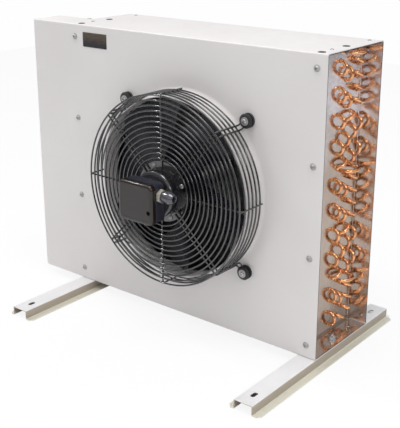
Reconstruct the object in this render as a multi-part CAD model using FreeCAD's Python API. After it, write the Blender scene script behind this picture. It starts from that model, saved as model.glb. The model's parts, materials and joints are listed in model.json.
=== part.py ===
import FreeCAD, Part
import math
import os

# Air-cooled condenser: a finned coil in a folded casing, one axial fan hung in a wire guard,
# on two rails. Millimetres. X runs along the front, Y to the back, Z up.
# The origin is under the middle of the whole part, on the surface that the rails stand on.

Vec = FreeCAD.Vector
AXIS_X, AXIS_Y, AXIS_Z = Vec(1, 0, 0), Vec(0, 1, 0), Vec(0, 0, 1)

# Coil
rows = 4
tubes_per_row = 22
tube_pitch = 25.0
tube_d = 7.0
fin_length = 545.0
comb_pitch = 10.0
comb_land = 3.0
comb_depth = 5.5
coil_sheet = 1.5
plenum = 104.4
head_space = 12.5
rear_space = 4.0
bend_leg = 1.0
bend_chords = 4
tube_sides = 6

# Casing
cover_sheet = 1.2
pipe_space = 150.0
end_flange = 42.0
notch_width = 105.0
side_depth = 75.0
corner_relief = 3.0
tip_gap = 3.5
mouth_radius = 14.0
mouth_out = 48.0
plate_size = (68.0, 30.0)
plate_thick = 0.8
plate_left = 152.5
plate_below_top = 15.0

# Rails
rail_top = 40.0
rail_height = 20.0
rail_lip = 14.0
rail_sheet = 2.0
rail_front = 200.0
rail_back = 90.0
left_rail_x = 138.0
lip_corner = 7.0
slot_length = 17.0
slot_width = 9.0
slot_end = 33.0

# Fasteners
bolt_d = 8.0
bolt_head = 13.0
bolt_head_h = 5.3
bolt_nut_h = 6.5
bolt_over = 4.0
bolt_ys = (12.0, 94.0)
access_d = 12.0
screw_d = 4.8
screw_head_d = 9.0
screw_head_h = 3.2
screw_washer_d = 13.0
screw_washer_h = 1.0
screw_length = 12.0
screw_rows = 4
screw_margin = 26.0
screw_inset = 21.0
top_screw_d = 3.5
top_screw_head_d = 7.0
top_screw_head_h = 2.0
top_screw_ys = (45.0, 178.0)
hole_play = 0.5
seat_fit = 0.05

# Pipe work beside the coil
circuit_tubes = 9
gas_pipe_d = 22.2
gas_stub_d = 19.0
gas_header_x = 50.0
gas_turn = 42.0
liquid_pipe_d = 15.9
liquid_stub_d = 12.7
liquid_header_x = 88.0
liquid_turn = 30.0
pipe_wall = 1.0
header_over = 22.0
cap_thick = 2.0
cap_room = 1.0
feeder_turn = 10.0
stub_out = 30.0
stub_neck = 5.0
stub_neck_in = 0.5
gas_stub_up = 480.0
liquid_stub_up = 120.0

# Fan guard
wire = 3.5
wire_bend = 4.0
guard_room = 14.5
guard_stand = 78.0
front_rings = 13
outer_ring_inset = 5.0
inner_ring_room = 6.8
side_rings = 5
side_ring_pitch = 11.6
side_ring_first = 13.0
wire_start_r = 50.0
leg_gap = 10.0
leg_count = 4
damper_d = 28.0
damper_neck_d = 16.0
damper_room = 5.0
damper_height = 13.0
damper_play = 0.3
damper_screw_d = 5.0
damper_washer_d = 16.0
damper_nut = 8.0
damper_nut_h = 4.0

# Motor
motor_plate_d = 120.0
motor_plate_hole_d = 94.0
motor_plate_thick = 2.5
motor_screw_circle_d = 106.0
motor_screw_turn = 22.5
motor_screw_length = 7.0
boss_d = 92.0
boss_height = 28.5
boss_round = 6.0
flange_d = 116.0
flange_thick = 6.0
bearing_d = 30.0
bearing_width = 9.0
bearing_race = 3.0
bearing_recess = 0.6
bearing_tube_d = 38.0
bearing_tube_length = 50.0
shaft_d = 10.0
running_fit = 0.03
stack_d = 79.0
stack_length = 34.0
stack_space = 12.0
winding_d = 73.0
winding_bore_d = 46.0
winding_length = 6.5
air_gap = 0.5
rotor_d = 104.0
rotor_wall = 2.0
rotor_length = 62.0
rotor_space = 2.5
rotor_round = 7.0
rotor_boss_d = 20.0
rotor_boss_length = 8.0

# Impeller
impeller_d = 350.0
hub_wall = 2.0
hub_length = 48.0
blade_count = 5
blade_thick = 2.0
root_chord, tip_chord = 78.0, 150.0
root_pitch, tip_pitch = 38.0, 17.0
blade_sweep = 30.0
blade_rake = 12.0
blade_camber = 0.08
blade_stations = 5
blade_points = 5

# Terminal box
box_width = 85.0
box_height = 80.0
box_corner = 10.0
box_wall = 2.5
box_base_depth = 25.0
box_seal = 1.0
box_lid_depth = 12.0
box_lid_round = 3.0
box_shift = (-14.0, -9.0)
lid_screw_inset = 8.5
lid_screw_down = 14.0
lid_screw_well_d = 9.0
gland_up = 16.0
gland_thread_d = 16.0
gland_bore_d = 10.0
gland_hex = 24.0
gland_hex_h = 8.0
gland_nut_d = 24.0
gland_nut_length = 27.0
gland_nut_taper = (3.0, 4.0)
gland_inside = 9.0
lock_nut_d = 19.0
lock_nut_h = 4.0
terminal_block_size = (40.0, 9.0, 16.0)

# Sizes that follow
row_pitch = tube_pitch * math.sin(math.radians(60))
fin_height = tubes_per_row * tube_pitch
fin_depth = rows * row_pitch
casing_width = pipe_space + coil_sheet + fin_length + coil_sheet + end_flange
casing_depth = plenum + fin_depth + rear_space
casing_height = fin_height + 2 * head_space
rail_length = rail_front + casing_depth + rail_back
sheets = cover_sheet + coil_sheet
hub_d = rotor_d + 2 * hub_wall
throat_d = impeller_d + 2 * tip_gap
guard_d = throat_d + 2 * guard_room
ring_band = guard_d / 2 - outer_ring_inset - motor_plate_d / 2 - inner_ring_room
ring_pitch = ring_band / (front_rings - 1)
leg_circle_d = guard_d + 2 * damper_room + damper_d

# Places in the part's own frame
left = -(casing_width + rail_lip) / 2
right = left + casing_width
front = rail_front - rail_length / 2
back = front + casing_depth
base = rail_height
top = base + casing_height

web_left = left + pipe_space
web_right = right - end_flange
fins_left = web_left + coil_sheet
fins_right = web_right - coil_sheet
fins_front = front + plenum
fins_back = fins_front + fin_depth
fins_base = base + head_space
fins_top = fins_base + fin_height

rail_xs = (left + left_rail_x, right - rail_top / 2)
screw_xs = (web_left - screw_inset, right - screw_inset)
screw_step = (casing_height - 2 * screw_margin) / (screw_rows - 1)
screw_zs = [base + screw_margin + k * screw_step for k in range(screw_rows)]
fan_x = sum(rail_xs) / 2
fan_z = base + casing_height / 2
bolt_seat = rail_height - rail_sheet
nut_seat = base + sheets

ring_plane = front - guard_stand
spoke_plane = ring_plane + wire
motor_plate_plane = spoke_plane + wire
flange_plane = motor_plate_plane + motor_plate_thick
box_plane = flange_plane - boss_height
seal_plane = box_plane - box_base_depth
lid_plane = seal_plane - box_seal
rotor_plane = flange_plane + flange_thick + rotor_space
rotor_end = rotor_plane + rotor_length
hub_plane = rotor_end - rotor_round - hub_length
stack_plane = flange_plane + flange_thick + stack_space
tube_end = flange_plane + flange_thick + bearing_tube_length
eye_y = front - damper_height / 2

box_x, box_z = fan_x + box_shift[0], fan_z + box_shift[1]
box_side = box_x + box_width / 2
gland_y, gland_z = seal_plane + box_base_depth / 2, box_z + gland_up
lid_screw_x, lid_screw_z = box_side - lid_screw_inset, box_z - lid_screw_down
lid_post_d = lid_screw_well_d + 2 * box_wall


def block(x0, x1, y0, y1, z0, z1):
    return Part.makeBox(x1 - x0, y1 - y0, z1 - z0, Vec(x0, y0, z0))


def rod(x, y, z, d, length, axis=AXIS_Y):
    return Part.makeCylinder(d / 2, length, Vec(x, y, z), axis)


def pipe(x, y, z, d, bore, length, axis=AXIS_Y):
    return rod(x, y, z, d, length, axis).cut(rod(x, y, z, bore, length, axis))


def fan_rod(y, d, length):
    return rod(fan_x, y, fan_z, d, length)


def fan_pipe(y, d, bore, length):
    return pipe(fan_x, y, fan_z, d, bore, length)


def fused(shapes):
    return shapes[0].fuse(shapes[1:]).removeSplitter()


def drilled(shape, drills):
    return shape.cut(Part.makeCompound(drills))


def polygon(points):
    return Part.Face(Part.makePolygon(points + [points[0]]))


def turned(profile):
    """A solid turned about Y through the origin, from (radius, y) points."""
    return polygon([Vec(r, y, 0) for r, y in profile]).revolve(Vec(), AXIS_Y, 360)


def hexagon(flats, length, bore=0.0):
    """A hexagon along +Y at the origin, its flats to both sides."""
    r = flats / 2 / math.cos(math.radians(30))
    turns = [math.radians(60 * k + 30) for k in range(6)]
    body = polygon([Vec(r * math.cos(a), 0, r * math.sin(a)) for a in turns])
    body = body.extrude(Vec(0, length, 0))
    return body.cut(rod(0, 0, 0, bore, length)) if bore else body


def up(shape):
    """Turns a shape made along +Y to point along +Z."""
    return shape.rotated(Vec(), AXIS_X, 90)


def down(shape):
    return shape.rotated(Vec(), AXIS_X, -90)


def sideways(shape):
    """Turns a shape made along +Y to point along +X."""
    return shape.rotated(Vec(), AXIS_Z, -90)


def group(shape, places):
    return Part.makeCompound([shape.translated(Vec(*place)) for place in places])


def around_fan(shape, angle):
    """A copy turned about the fan's axis: 0 lies to the right, 90 up."""
    return shape.rotated(Vec(fan_x, 0, fan_z), AXIS_Y, -angle)


def circle_places(d, y, angles):
    turns = [math.radians(a) for a in angles]
    return [(fan_x + d / 2 * math.cos(a), y, fan_z + d / 2 * math.sin(a)) for a in turns]


def screw(d, length, head_d, head_h, washer_d=0.0, washer_h=0.0):
    """A pan head at the origin, on a pressed washer if it has one, its shank along +Y."""
    profile = [(0, length), (0, -head_h - washer_h), (head_d * 0.35, -head_h - washer_h)]
    profile += [(head_d / 2, -washer_h - head_h / 2), (head_d / 2, -washer_h)]
    if washer_h:
        profile += [(washer_d / 2, -washer_h), (washer_d / 2, 0)]
    return turned(profile + [(d / 2, 0), (d / 2, length)])


# Casing

leg_angles = [45 + k * 360 / leg_count for k in range(leg_count)]
damper_places = circle_places(leg_circle_d, front, leg_angles)
front_screw_places = [(x, front, z) for x in screw_xs for z in screw_zs]
bolt_places = [(x, front + y) for x in rail_xs for y in bolt_ys]
top_screw_places = [(x, front + y, top) for x in rail_xs for y in top_screw_ys]


def casing_holes():
    """The holes that the cover shares with the tube sheets under it."""
    drills = [
        rod(x, y - 1, z, screw_d + hole_play, sheets + 2) for x, y, z in front_screw_places
    ]
    for x, y in bolt_places:
        drills.append(rod(x, y, base - 1, bolt_d + hole_play, sheets + 2, AXIS_Z))
        drills.append(rod(x, y, top - sheets - 1, access_d, sheets + 2, AXIS_Z))
    for x, y, z in top_screw_places:
        drills.append(rod(x, y, z - sheets - 1, top_screw_d + hole_play, sheets + 2, AXIS_Z))
    return drills


def fan_mouth():
    """The pressed mouth: the sheet rolls out of the front face to a collar round the blades."""
    r, m, t, s = throat_d / 2, mouth_radius, cover_sheet, math.sqrt(0.5)
    n = m - t

    def at(out, y):
        return Vec(fan_x + r + out, front + y, fan_z)

    def line(a, b):
        return Part.LineSegment(a, b).toShape()

    edges = [
        Part.Arc(at(m, 0), at(m - n * s, n * s - n), at(t, -n)).toShape(),
        line(at(t, -n), at(t, -mouth_out)),
        line(at(t, -mouth_out), at(0, -mouth_out)),
        line(at(0, -mouth_out), at(0, -n)),
        Part.Arc(at(0, -n), at(m - m * s, m * s - n), at(m, t)).toShape(),
        line(at(m, t), at(m, 0)),
    ]
    return Part.Face(Part.Wire(edges)).revolve(Vec(fan_x, 0, fan_z), AXIS_Y, 360)


def cover_wing(z):
    """Top or bottom of the cover: short over the pipe space, full depth over the coil."""
    short = block(left, left + notch_width, front, front + side_depth, z, z + cover_sheet)
    return short.fuse(block(left + notch_width, right, front, back, z, z + cover_sheet))


def front_cover():
    panel = block(left, right, front, front + cover_sheet, base, top)
    panel = panel.cut(fan_rod(front - 1, throat_d + 2 * mouth_radius, cover_sheet + 2))
    side = block(left, left + cover_sheet, front, front + side_depth, base, top)
    shell = fused([panel, side, cover_wing(base), cover_wing(top - cover_sheet), fan_mouth()])
    damper_hole = damper_screw_d + hole_play
    drills = [rod(x, y - 1, z, damper_hole, cover_sheet + 2) for x, y, z in damper_places]
    return drilled(shell, casing_holes() + drills)


def nameplate_blank():
    x, z = left + plate_left, top - plate_below_top
    return block(x, x + plate_size[0], front - plate_thick, front, z - plate_size[1], z)


def tube_sheet(web_x, out):
    """A tray: a web beside the fins and four flanges turned outwards. out is 1 or -1 along X."""
    y0, y1, z0, z1 = front + cover_sheet, back, base + cover_sheet, top - cover_sheet
    s, inset = coil_sheet, coil_sheet + corner_relief

    def plate(reach, ya, yb, za, zb):
        xa, xb = sorted((web_x - out * s, web_x + out * reach))
        return block(xa, xb, ya, yb, za, zb)

    plates = [
        plate(0, y0, y1, z0, z1),
        plate(end_flange, y0, y0 + s, z0, z1),
        plate(end_flange, y1 - s, y1, z0, z1),
        plate(end_flange, y0 + inset, y1 - inset, z0, z0 + s),
        plate(end_flange, y0 + inset, y1 - inset, z1 - s, z1),
    ]
    return drilled(fused(plates), casing_holes())


# Coil


def coil_plate(fin_z, cover_z):
    """A shallow channel from the fins to the cover: its web on the fins, two low flanges."""
    rise = 1 if cover_z > fin_z else -1
    web = sorted((fin_z, fin_z + rise * coil_sheet))
    wall = sorted((fin_z, cover_z))
    plates = [
        block(fins_left, fins_right, fins_front, fins_back, *web),
        block(fins_left, fins_right, fins_front, fins_front + coil_sheet, *wall),
        block(fins_left, fins_right, fins_back - coil_sheet, fins_back, *wall),
    ]
    return fused(plates)


def fin_block():
    """The fins with their expanded tubes, as one comb outline drawn straight up."""
    count = int((fin_length - comb_land) // comb_pitch) + 1
    start = fins_left + (fin_length - (count - 1) * comb_pitch - comb_land) / 2
    lands = [[start + k * comb_pitch, start + k * comb_pitch + comb_land] for k in range(count)]
    lands[0][0], lands[-1][1] = fins_left, fins_right
    outline = []
    for a, b in lands:
        outline += [(a, comb_depth), (a, 0), (b, 0), (b, comb_depth)]
    outline = outline[1:-1]
    near = [Vec(x, fins_front + y, fins_base) for x, y in outline]
    far = [Vec(x, fins_back - y, fins_base) for x, y in outline]
    return polygon(near + far[::-1]).extrude(Vec(0, 0, fin_height))


# Tubes are named (row, place): row 1 is at the front, place 0 at the top. Odd rows stand half
# a pitch lower. Every tube ends in a bend, or in a feeder to one of the two headers.


def tube_place(row, place):
    drop = 0.75 if row % 2 else 0.25
    return fins_front + (row - 0.5) * row_pitch, fins_top - (place + drop) * tube_pitch


def downward(row, *places):
    """Bends that join a tube to the next one in its own row."""
    return [((row, k), (row, k + 1)) for k in places]


right_rows = [
    downward(1, 0, 2, 4, 6),
    downward(2, 1, 3, 6),
    downward(3, 5, 7),
    downward(4, 5, 7),
]
right_rows_last = [downward(1, 0, 2), downward(2, 1), [], []]
right_crossings = [((1, 8), (2, 8)), ((2, 5), (3, 4))]
right_crossings += [((3, k), (4, k + 1)) for k in range(4)]
right_crossings_last = [((2, 3), (3, 3))] + [((3, k), (4, k + 1)) for k in range(3)]
wide_bends = [((2, 0), (4, 0))]
left_near = downward(1, 1, 3, 5, 7) + downward(2, 0, 2, 5, 7)
left_near_last = downward(1, 1) + downward(2, 0) + [((1, 3), (2, 3))]
left_far = downward(3, 1, 3, 6) + downward(4, 1, 3, 6) + [((3, 0), (4, 0)), ((3, 8), (4, 8))]
left_far_last = downward(3, 1) + downward(4, 1) + [((3, 0), (4, 0)), ((3, 3), (4, 3))]
gas_ends, gas_ends_last = [[(1, 0)], [(3, 5)]], [[(1, 0)]]
liquid_ends, liquid_ends_last = [[(2, 4)], [(4, 5)]], [[(2, 2)]]


def down_the_coil(full, last):
    """Repeats a pattern for each group of tubes, keeping what the coil has tubes for."""
    groups = tubes_per_row // circuit_tubes
    shifts = [(full, k * circuit_tubes) for k in range(groups)]
    shifts.append((last, groups * circuit_tubes))
    found = []
    for pattern, shift in shifts:
        for tubes in pattern:
            moved = [(row, place + shift) for row, place in tubes]
            if all(row <= rows and place < tubes_per_row for row, place in moved):
                found.append(moved)
    return found


def tube_run(path):
    """A tube of few faces along a path in one plane, mitred at its corners."""
    runs = [(q - p).normalize() for p, q in zip(path, path[1:])]
    normal = runs[0].cross(runs[1]).normalize() if len(runs) > 1 else AXIS_Z
    turns = [math.radians(360 * (k + 0.5) / tube_sides) for k in range(tube_sides)]
    rings = []
    for k, point in enumerate(path):
        u, v = runs[max(k - 1, 0)], runs[min(k, len(runs) - 1)]
        across = (u + v).normalize().cross(normal) * (tube_d / 2 / math.cos(u.getAngle(v) / 2))
        over = normal * (tube_d / 2)
        ring = [point + across * math.cos(a) + over * math.sin(a) for a in turns]
        rings.append(Part.makePolygon(ring + [ring[0]]))
    return Part.makeLoft(rings, True, True)


def bend(span):
    """A return bend with both legs along +X, one from the origin and one span below it."""
    turns = [math.pi * k / bend_chords for k in range(bend_chords + 1)]
    r = span / 2
    arc = [Vec(bend_leg + r * math.sin(a), 0, r * math.cos(a) - r) for a in turns]
    return tube_run([Vec(), *arc, Vec(0, 0, -span)])


def bends(joined, out):
    """Bends between the named tubes, standing on a tube sheet. out is 1 or -1 along X."""
    shapes, made = [], {}
    for first, second in joined:
        (ya, za), (yb, zb) = tube_place(*first), tube_place(*second)
        span = math.hypot(yb - ya, zb - za)
        size = round(span, 3)
        if size not in made:
            made[size] = bend(span)
        shape = made[size] if out > 0 else made[size].rotated(Vec(), AXIS_Z, 180)
        tilt = math.degrees(math.atan2(yb - ya, za - zb))
        web_x = web_right if out > 0 else web_left
        shapes.append(shape.rotated(Vec(), AXIS_X, tilt).translated(Vec(web_x, ya, za)))
    return Part.makeCompound(shapes)


def swung(points):
    """The points with each corner cut by feeder_turn, as a wide bend has it."""
    path = [points[0]]
    for before, corner, after in zip(points, points[1:], points[2:]):
        path.append(corner + (before - corner).normalize() * feeder_turn)
        path.append(corner + (after - corner).normalize() * feeder_turn)
    return path + [points[-1]]


def feeders(ends, header_x, header_row, header_d, turn):
    """Tubes from the coil's open ends to a header, each saddled onto it."""
    header_y = tube_place(header_row, 0)[0]
    header = rod(header_x, header_y, base, header_d, casing_height, AXIS_Z)
    shapes = []
    for ((row, place),) in ends:
        y, z = tube_place(row, place)
        points = [Vec(web_left, y, z), Vec(header_x, header_y, z)]
        if row != header_row:
            points[1:1] = [Vec(web_left - turn, y, z), Vec(web_left - turn, header_y, z)]
        shapes.append(tube_run(swung(points)).cut(header))
    return Part.makeCompound(shapes)


def header_span(ends):
    heights = [tube_place(*end)[1] for (end,) in ends]
    highest = top - cover_sheet - cap_thick - cap_room
    return min(heights) - header_over, min(max(heights) + header_over, highest)


def header(x, row, d, stub_d, stub_z, ends):
    """An upright pipe with a hole where its connection leaves to the back."""
    y, (z0, z1) = tube_place(row, 0)[0], header_span(ends)
    body = pipe(x, y, z0, d, d - 2 * pipe_wall, z1 - z0, AXIS_Z)
    return body.cut(rod(x, y, stub_z, stub_d - 2 * pipe_wall, d))


def header_caps(headers):
    caps = []
    for x, row, d, ends in headers:
        y, (z0, z1) = tube_place(row, 0)[0], header_span(ends)
        caps.append(rod(x, y, z0 - cap_thick, d, cap_thick, AXIS_Z))
        caps.append(rod(x, y, z1, d, cap_thick, AXIS_Z))
    return Part.makeCompound(caps)


def stub(x, row, header_d, d, z):
    """An open connection to the back, past the casing, swaged down where it enters a header."""
    y, bore, neck = tube_place(row, 0)[0], d - 2 * pipe_wall, header_d / 2 + stub_neck
    root = pipe(x, y, z, d - 2 * stub_neck_in, bore, neck)
    body = fused([root, pipe(x, y + neck, z, d, bore, back + stub_out - y - neck)])
    return body.cut(rod(x, y, base, header_d, casing_height, AXIS_Z))


gas_tubes = down_the_coil(gas_ends, gas_ends_last)
liquid_tubes = down_the_coil(liquid_ends, liquid_ends_last)
gas_x, gas_row, gas_stub_z = left + gas_header_x, 1, base + gas_stub_up
liquid_x, liquid_row, liquid_stub_z = left + liquid_header_x, rows, base + liquid_stub_up


# Rails


def rail(x):
    """A folded hat section with turned-out lips, open at both ends."""
    w, s, h = rail_top / 2, rail_sheet, rail_height
    y0, y1 = front - rail_front, front - rail_front + rail_length
    half = [(w + rail_lip, 0), (w + rail_lip, s), (w, s), (w, h)]
    inner = [(w - s, h - s), (w - s, 0)]
    outline = half + [(-a, z) for a, z in half[::-1]]
    outline += [(-a, z) for a, z in inner[::-1]] + inner
    body = polygon([Vec(x + a, y0, z) for a, z in outline]).extrude(Vec(0, rail_length, 0))
    cuts = []
    for side in (-1, 1):
        for y, inward in ((y0, 1), (y1, -1)):
            edge = x + side * (w + rail_lip)
            corner = [(edge, y), (edge - side * lip_corner, y), (edge, y + inward * lip_corner)]
            cuts.append(polygon([Vec(a, b, -1) for a, b in corner]).extrude(Vec(0, 0, s + 2)))
    r, run = slot_width / 2, (slot_length - slot_width) / 2
    for y in (y0 + slot_end, y1 - slot_end):
        cuts.append(block(x - r, x + r, y - run, y + run, h - s - 1, h + 1))
        cuts += [rod(x, y + a, h - s - 1, slot_width, s + 2, AXIS_Z) for a in (-run, run)]
    for y in bolt_ys:
        cuts.append(rod(x, front + y, h - s - 1, bolt_d + hole_play, s + 2, AXIS_Z))
    for cut in cuts:
        body = body.cut(cut)
    return body


def rail_bolts():
    reach = nut_seat + bolt_nut_h + bolt_over - bolt_seat
    head = up(hexagon(bolt_head, bolt_head_h)).translated(Vec(0, 0, -bolt_head_h))
    one = fused([head, rod(0, 0, 0, bolt_d, reach, AXIS_Z)])
    return group(one, [(x, y, bolt_seat) for x, y in bolt_places])


def rail_nuts():
    one = up(hexagon(bolt_head, bolt_nut_h, bolt_d + 2 * seat_fit))
    return group(one, [(x, y, nut_seat) for x, y in bolt_places])


# Guard


def ring(d, y):
    return fan_pipe(y, d + wire, d - wire, wire)


def guard_front_rings():
    outer = guard_d - 2 * outer_ring_inset
    return Part.makeCompound(
        [ring(outer - 2 * k * ring_pitch, ring_plane) for k in range(front_rings)]
    )


def guard_side_rings():
    first = front - side_ring_first - wire / 2
    return Part.makeCompound(
        [ring(guard_d - 3 * wire, first - k * side_ring_pitch) for k in range(side_rings)]
    )


def bent_wire(points, offset=0.0):
    """A square wire bent in a plane along the fan's axis, offset sideways from that axis.

    The points are (radius, y) on the wire's middle line, to the right of the axis."""
    path = [Vec(fan_x + r, y, fan_z + offset - wire / 2) for r, y in points]
    runs = [(b - a).normalize() for a, b in zip(path, path[1:])]
    across = [Vec(-u.y, u.x, 0) for u in runs]
    edges, ends = [], []
    for side in (wire / 2, -wire / 2):
        start = path[0] + across[0] * side
        ends.append(start)
        for k, corner in enumerate(path[1:-1]):
            setback = wire_bend * math.tan(runs[k].getAngle(runs[k + 1]) / 2)
            a, b = corner - runs[k] * setback, corner + runs[k + 1] * setback
            left_turn = runs[k].cross(runs[k + 1]).z > 0
            centre = a + across[k] * (wire_bend if left_turn else -wire_bend)
            a, b = a + across[k] * side, b + across[k + 1] * side
            crown = centre + (corner - centre).normalize() * (a - centre).Length
            edges.append(Part.LineSegment(start, a).toShape())
            edges.append(Part.Arc(a, crown, b).toShape())
            start = b
        finish = path[-1] + across[-1] * side
        edges.append(Part.LineSegment(start, finish).toShape())
        ends.append(finish)
    edges.append(Part.LineSegment(ends[0], ends[2]).toShape())
    edges.append(Part.LineSegment(ends[1], ends[3]).toShape())
    outline = Part.Wire(Part.sortEdges(edges)[0])
    return Part.Face(outline).extrude(Vec(0, 0, wire))


def guard_run(end_y):
    """From the motor plate out over the front, then back over the side to end_y."""
    middle = guard_d / 2 - wire / 2
    y = spoke_plane + wire / 2
    return [(wire_start_r, y), (middle, y), (middle, end_y)]


def guard_spokes():
    one = bent_wire(guard_run(front - side_ring_first + wire / 2))
    return Part.makeCompound([around_fan(one, a - 45) for a in leg_angles])


def guard_legs():
    """Each leg is a pair of wires that ends in an eye round a damper's neck."""
    bore = damper_neck_d + 2 * damper_play
    eye_r = (bore + wire) / 2
    reach = leg_circle_d / 2 - math.sqrt(eye_r**2 - (leg_gap / 2) ** 2)
    points = guard_run(eye_y) + [(reach, eye_y)]
    eye_x = fan_x + leg_circle_d / 2
    eye = pipe(eye_x, eye_y - wire / 2, fan_z, bore + 2 * wire, bore, wire)
    pair = [bent_wire(points, side * leg_gap / 2) for side in (-1, 1)]
    leg = fused([eye] + pair).cut(rod(eye_x, eye_y - wire, fan_z, bore, 2 * wire))
    return Part.makeCompound([around_fan(leg, a) for a in leg_angles])


def dampers():
    """Rubber bushes with a groove that the guard's eyes sit in."""
    r, neck, h = damper_d / 2, damper_neck_d / 2, damper_height
    groove = wire / 2 + damper_play
    bore = (damper_screw_d + hole_play) / 2
    profile = [(bore, 0), (bore, -h), (r - 1, -h), (r, 1 - h), (r, -h / 2 - groove)]
    profile += [(neck, -h / 2 - groove), (neck, groove - h / 2), (r, groove - h / 2), (r, 0)]
    return group(turned(profile), damper_places)


def damper_washers():
    hole = damper_screw_d + hole_play
    one = pipe(0, -damper_height - screw_washer_h, 0, damper_washer_d, hole, screw_washer_h)
    return group(one, damper_places)


def damper_screws():
    seat = damper_height + screw_washer_h
    one = screw(damper_screw_d, seat + cover_sheet + damper_nut_h + 1, screw_head_d, screw_head_h)
    return group(one.translated(Vec(0, -seat, 0)), damper_places)


def damper_nuts():
    one = hexagon(damper_nut, damper_nut_h, damper_screw_d + 2 * seat_fit)
    return group(one.translated(Vec(0, cover_sheet, 0)), damper_places)


# Motor

motor_screw_angles = [a - 45 + motor_screw_turn for a in leg_angles]


def motor_screw_drills():
    start, length = motor_plate_plane - 1, motor_screw_length + 2
    places = circle_places(motor_screw_circle_d, start, motor_screw_angles)
    return [rod(*place, damper_screw_d + 2 * seat_fit, length) for place in places]


def motor_plate():
    body = fan_pipe(motor_plate_plane, motor_plate_d, motor_plate_hole_d, motor_plate_thick)
    return drilled(body, motor_screw_drills())


def motor_screws():
    one = screw(damper_screw_d, motor_screw_length, screw_head_d, screw_head_h)
    return group(one, circle_places(motor_screw_circle_d, motor_plate_plane, motor_screw_angles))


def rounded_end(shape, y, radius):
    """Rounds the outer circle of a turned shape that lies at y."""
    rims = [e for e in shape.Edges if abs(e.BoundBox.YMin - y) + abs(e.BoundBox.YMax - y) < 0.01]
    return shape.makeFillet(radius, [max(rims, key=lambda e: e.Length)])


def motor_flange():
    """The motor's fixed part: a domed boss, its flange and the tube that holds the bearings."""
    boss = rounded_end(fan_rod(box_plane, boss_d, boss_height), box_plane, boss_round)
    disc = fan_rod(flange_plane, flange_d, flange_thick)
    holder = fan_rod(flange_plane, bearing_tube_d, flange_thick + bearing_tube_length)
    bore = fan_rod(flange_plane, bearing_d + 2 * seat_fit, tube_end - flange_plane)
    end_room = fan_rod(flange_plane - flange_thick, shaft_d * 1.4, flange_thick)
    return drilled(fused([boss, disc, holder]).cut(bore).cut(end_room), motor_screw_drills())


def bearing(y):
    bore, r = shaft_d / 2 + running_fit, bearing_d / 2
    inner, outer, step = bore + bearing_race, r - bearing_race, bearing_recess
    profile = [(bore, 0), (inner, 0), (inner, step), (outer, step), (outer, 0), (r, 0)]
    profile += [(a, bearing_width - b) for a, b in profile[::-1]]
    return turned(profile).translated(Vec(fan_x, y, fan_z))


def stator_windings():
    planes = (stack_plane - winding_length, stack_plane + stack_length)
    return Part.makeCompound(
        [fan_pipe(y, winding_d, winding_bore_d, winding_length) for y in planes]
    )


def rotor_can():
    cup = rounded_end(fan_rod(rotor_plane, rotor_d, rotor_length), rotor_end, rotor_round)
    floor = rotor_end - rotor_wall
    room = fan_rod(rotor_plane, rotor_d - 2 * rotor_wall, rotor_length - rotor_wall)
    cup = cup.cut(rounded_end(room, floor, rotor_round - rotor_wall))
    boss = fan_rod(floor - rotor_boss_length, rotor_boss_d, rotor_boss_length)
    return fused([cup, boss]).cut(fan_rod(floor - rotor_boss_length, shaft_d, rotor_boss_length))


def rotor_shaft():
    start, end = flange_plane - flange_thick / 2, rotor_end - rotor_wall
    return fan_rod(start, shaft_d, end - start)


# Impeller


def blade_section(r):
    """The blade's thin outline in the plane at r from the axis, leading edge to the back."""
    t = max(0.0, (2 * r - hub_d) / (impeller_d - hub_d))
    chord = root_chord + (tip_chord - root_chord) * t
    pitch = math.radians(root_pitch + (tip_pitch - root_pitch) * t)
    turn = -math.radians(blade_sweep) * t
    out, along = Vec(math.cos(turn), 0, math.sin(turn)), Vec(math.sin(turn), 0, -math.cos(turn))
    middle = Vec(fan_x, hub_plane + hub_length / 2 + blade_rake * t, fan_z) + out * r
    faces = []
    for side in (0.5, -0.5):
        points = []
        for k in range(blade_points):
            u = k / (blade_points - 1) - 0.5
            a, b = u * chord, side * blade_thick + blade_camber * chord * (1 - 4 * u * u)
            points.append(
                middle
                + along * (a * math.cos(pitch) - b * math.sin(pitch))
                + AXIS_Y * (a * math.sin(pitch) + b * math.cos(pitch))
            )
        faces.append(points)
    edges = []
    for points in faces:
        curve = Part.BSplineCurve()
        curve.interpolate(points)
        edges.append(curve.toShape())
    edges += [Part.LineSegment(faces[0][k], faces[1][k]).toShape() for k in (0, -1)]
    return Part.Wire(Part.sortEdges(edges)[0])


def fan_blades():
    """Sickle blades, lofted from inside the hub past the tip, then cut to both circles."""
    first, last = hub_d / 6, impeller_d / 2 + 1
    step = (last - first) / (blade_stations - 1)
    body = Part.makeLoft([blade_section(first + k * step) for k in range(blade_stations)], True)
    room = fan_pipe(hub_plane - hub_length, impeller_d, hub_d, 3 * hub_length)
    blade = max(body.common(room).Solids, key=lambda solid: solid.Volume)
    return Part.makeCompound([around_fan(blade, k * 360 / blade_count) for k in range(blade_count)])


# Terminal box


def box_slab(y, depth, inset=0.0):
    """The box's rounded outline, or one set in from it, drawn along Y."""
    w, h, r = box_width / 2 - inset, box_height / 2 - inset, box_corner - inset
    corners = [(box_x + a * (w - r), box_z + b * (h - r)) for a in (-1, 1) for b in (-1, 1)]
    rounds = [rod(x, y, z, 2 * r, depth) for x, z in corners]
    tall = block(box_x - w + r, box_x + w - r, y, y + depth, box_z - h, box_z + h)
    wide = block(box_x - w, box_x + w, y, y + depth, box_z - h + r, box_z + h - r)
    return fused([tall, wide] + rounds)


def lid_screw_rod(y, d, length):
    return rod(lid_screw_x, y, lid_screw_z, d, length)


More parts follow.
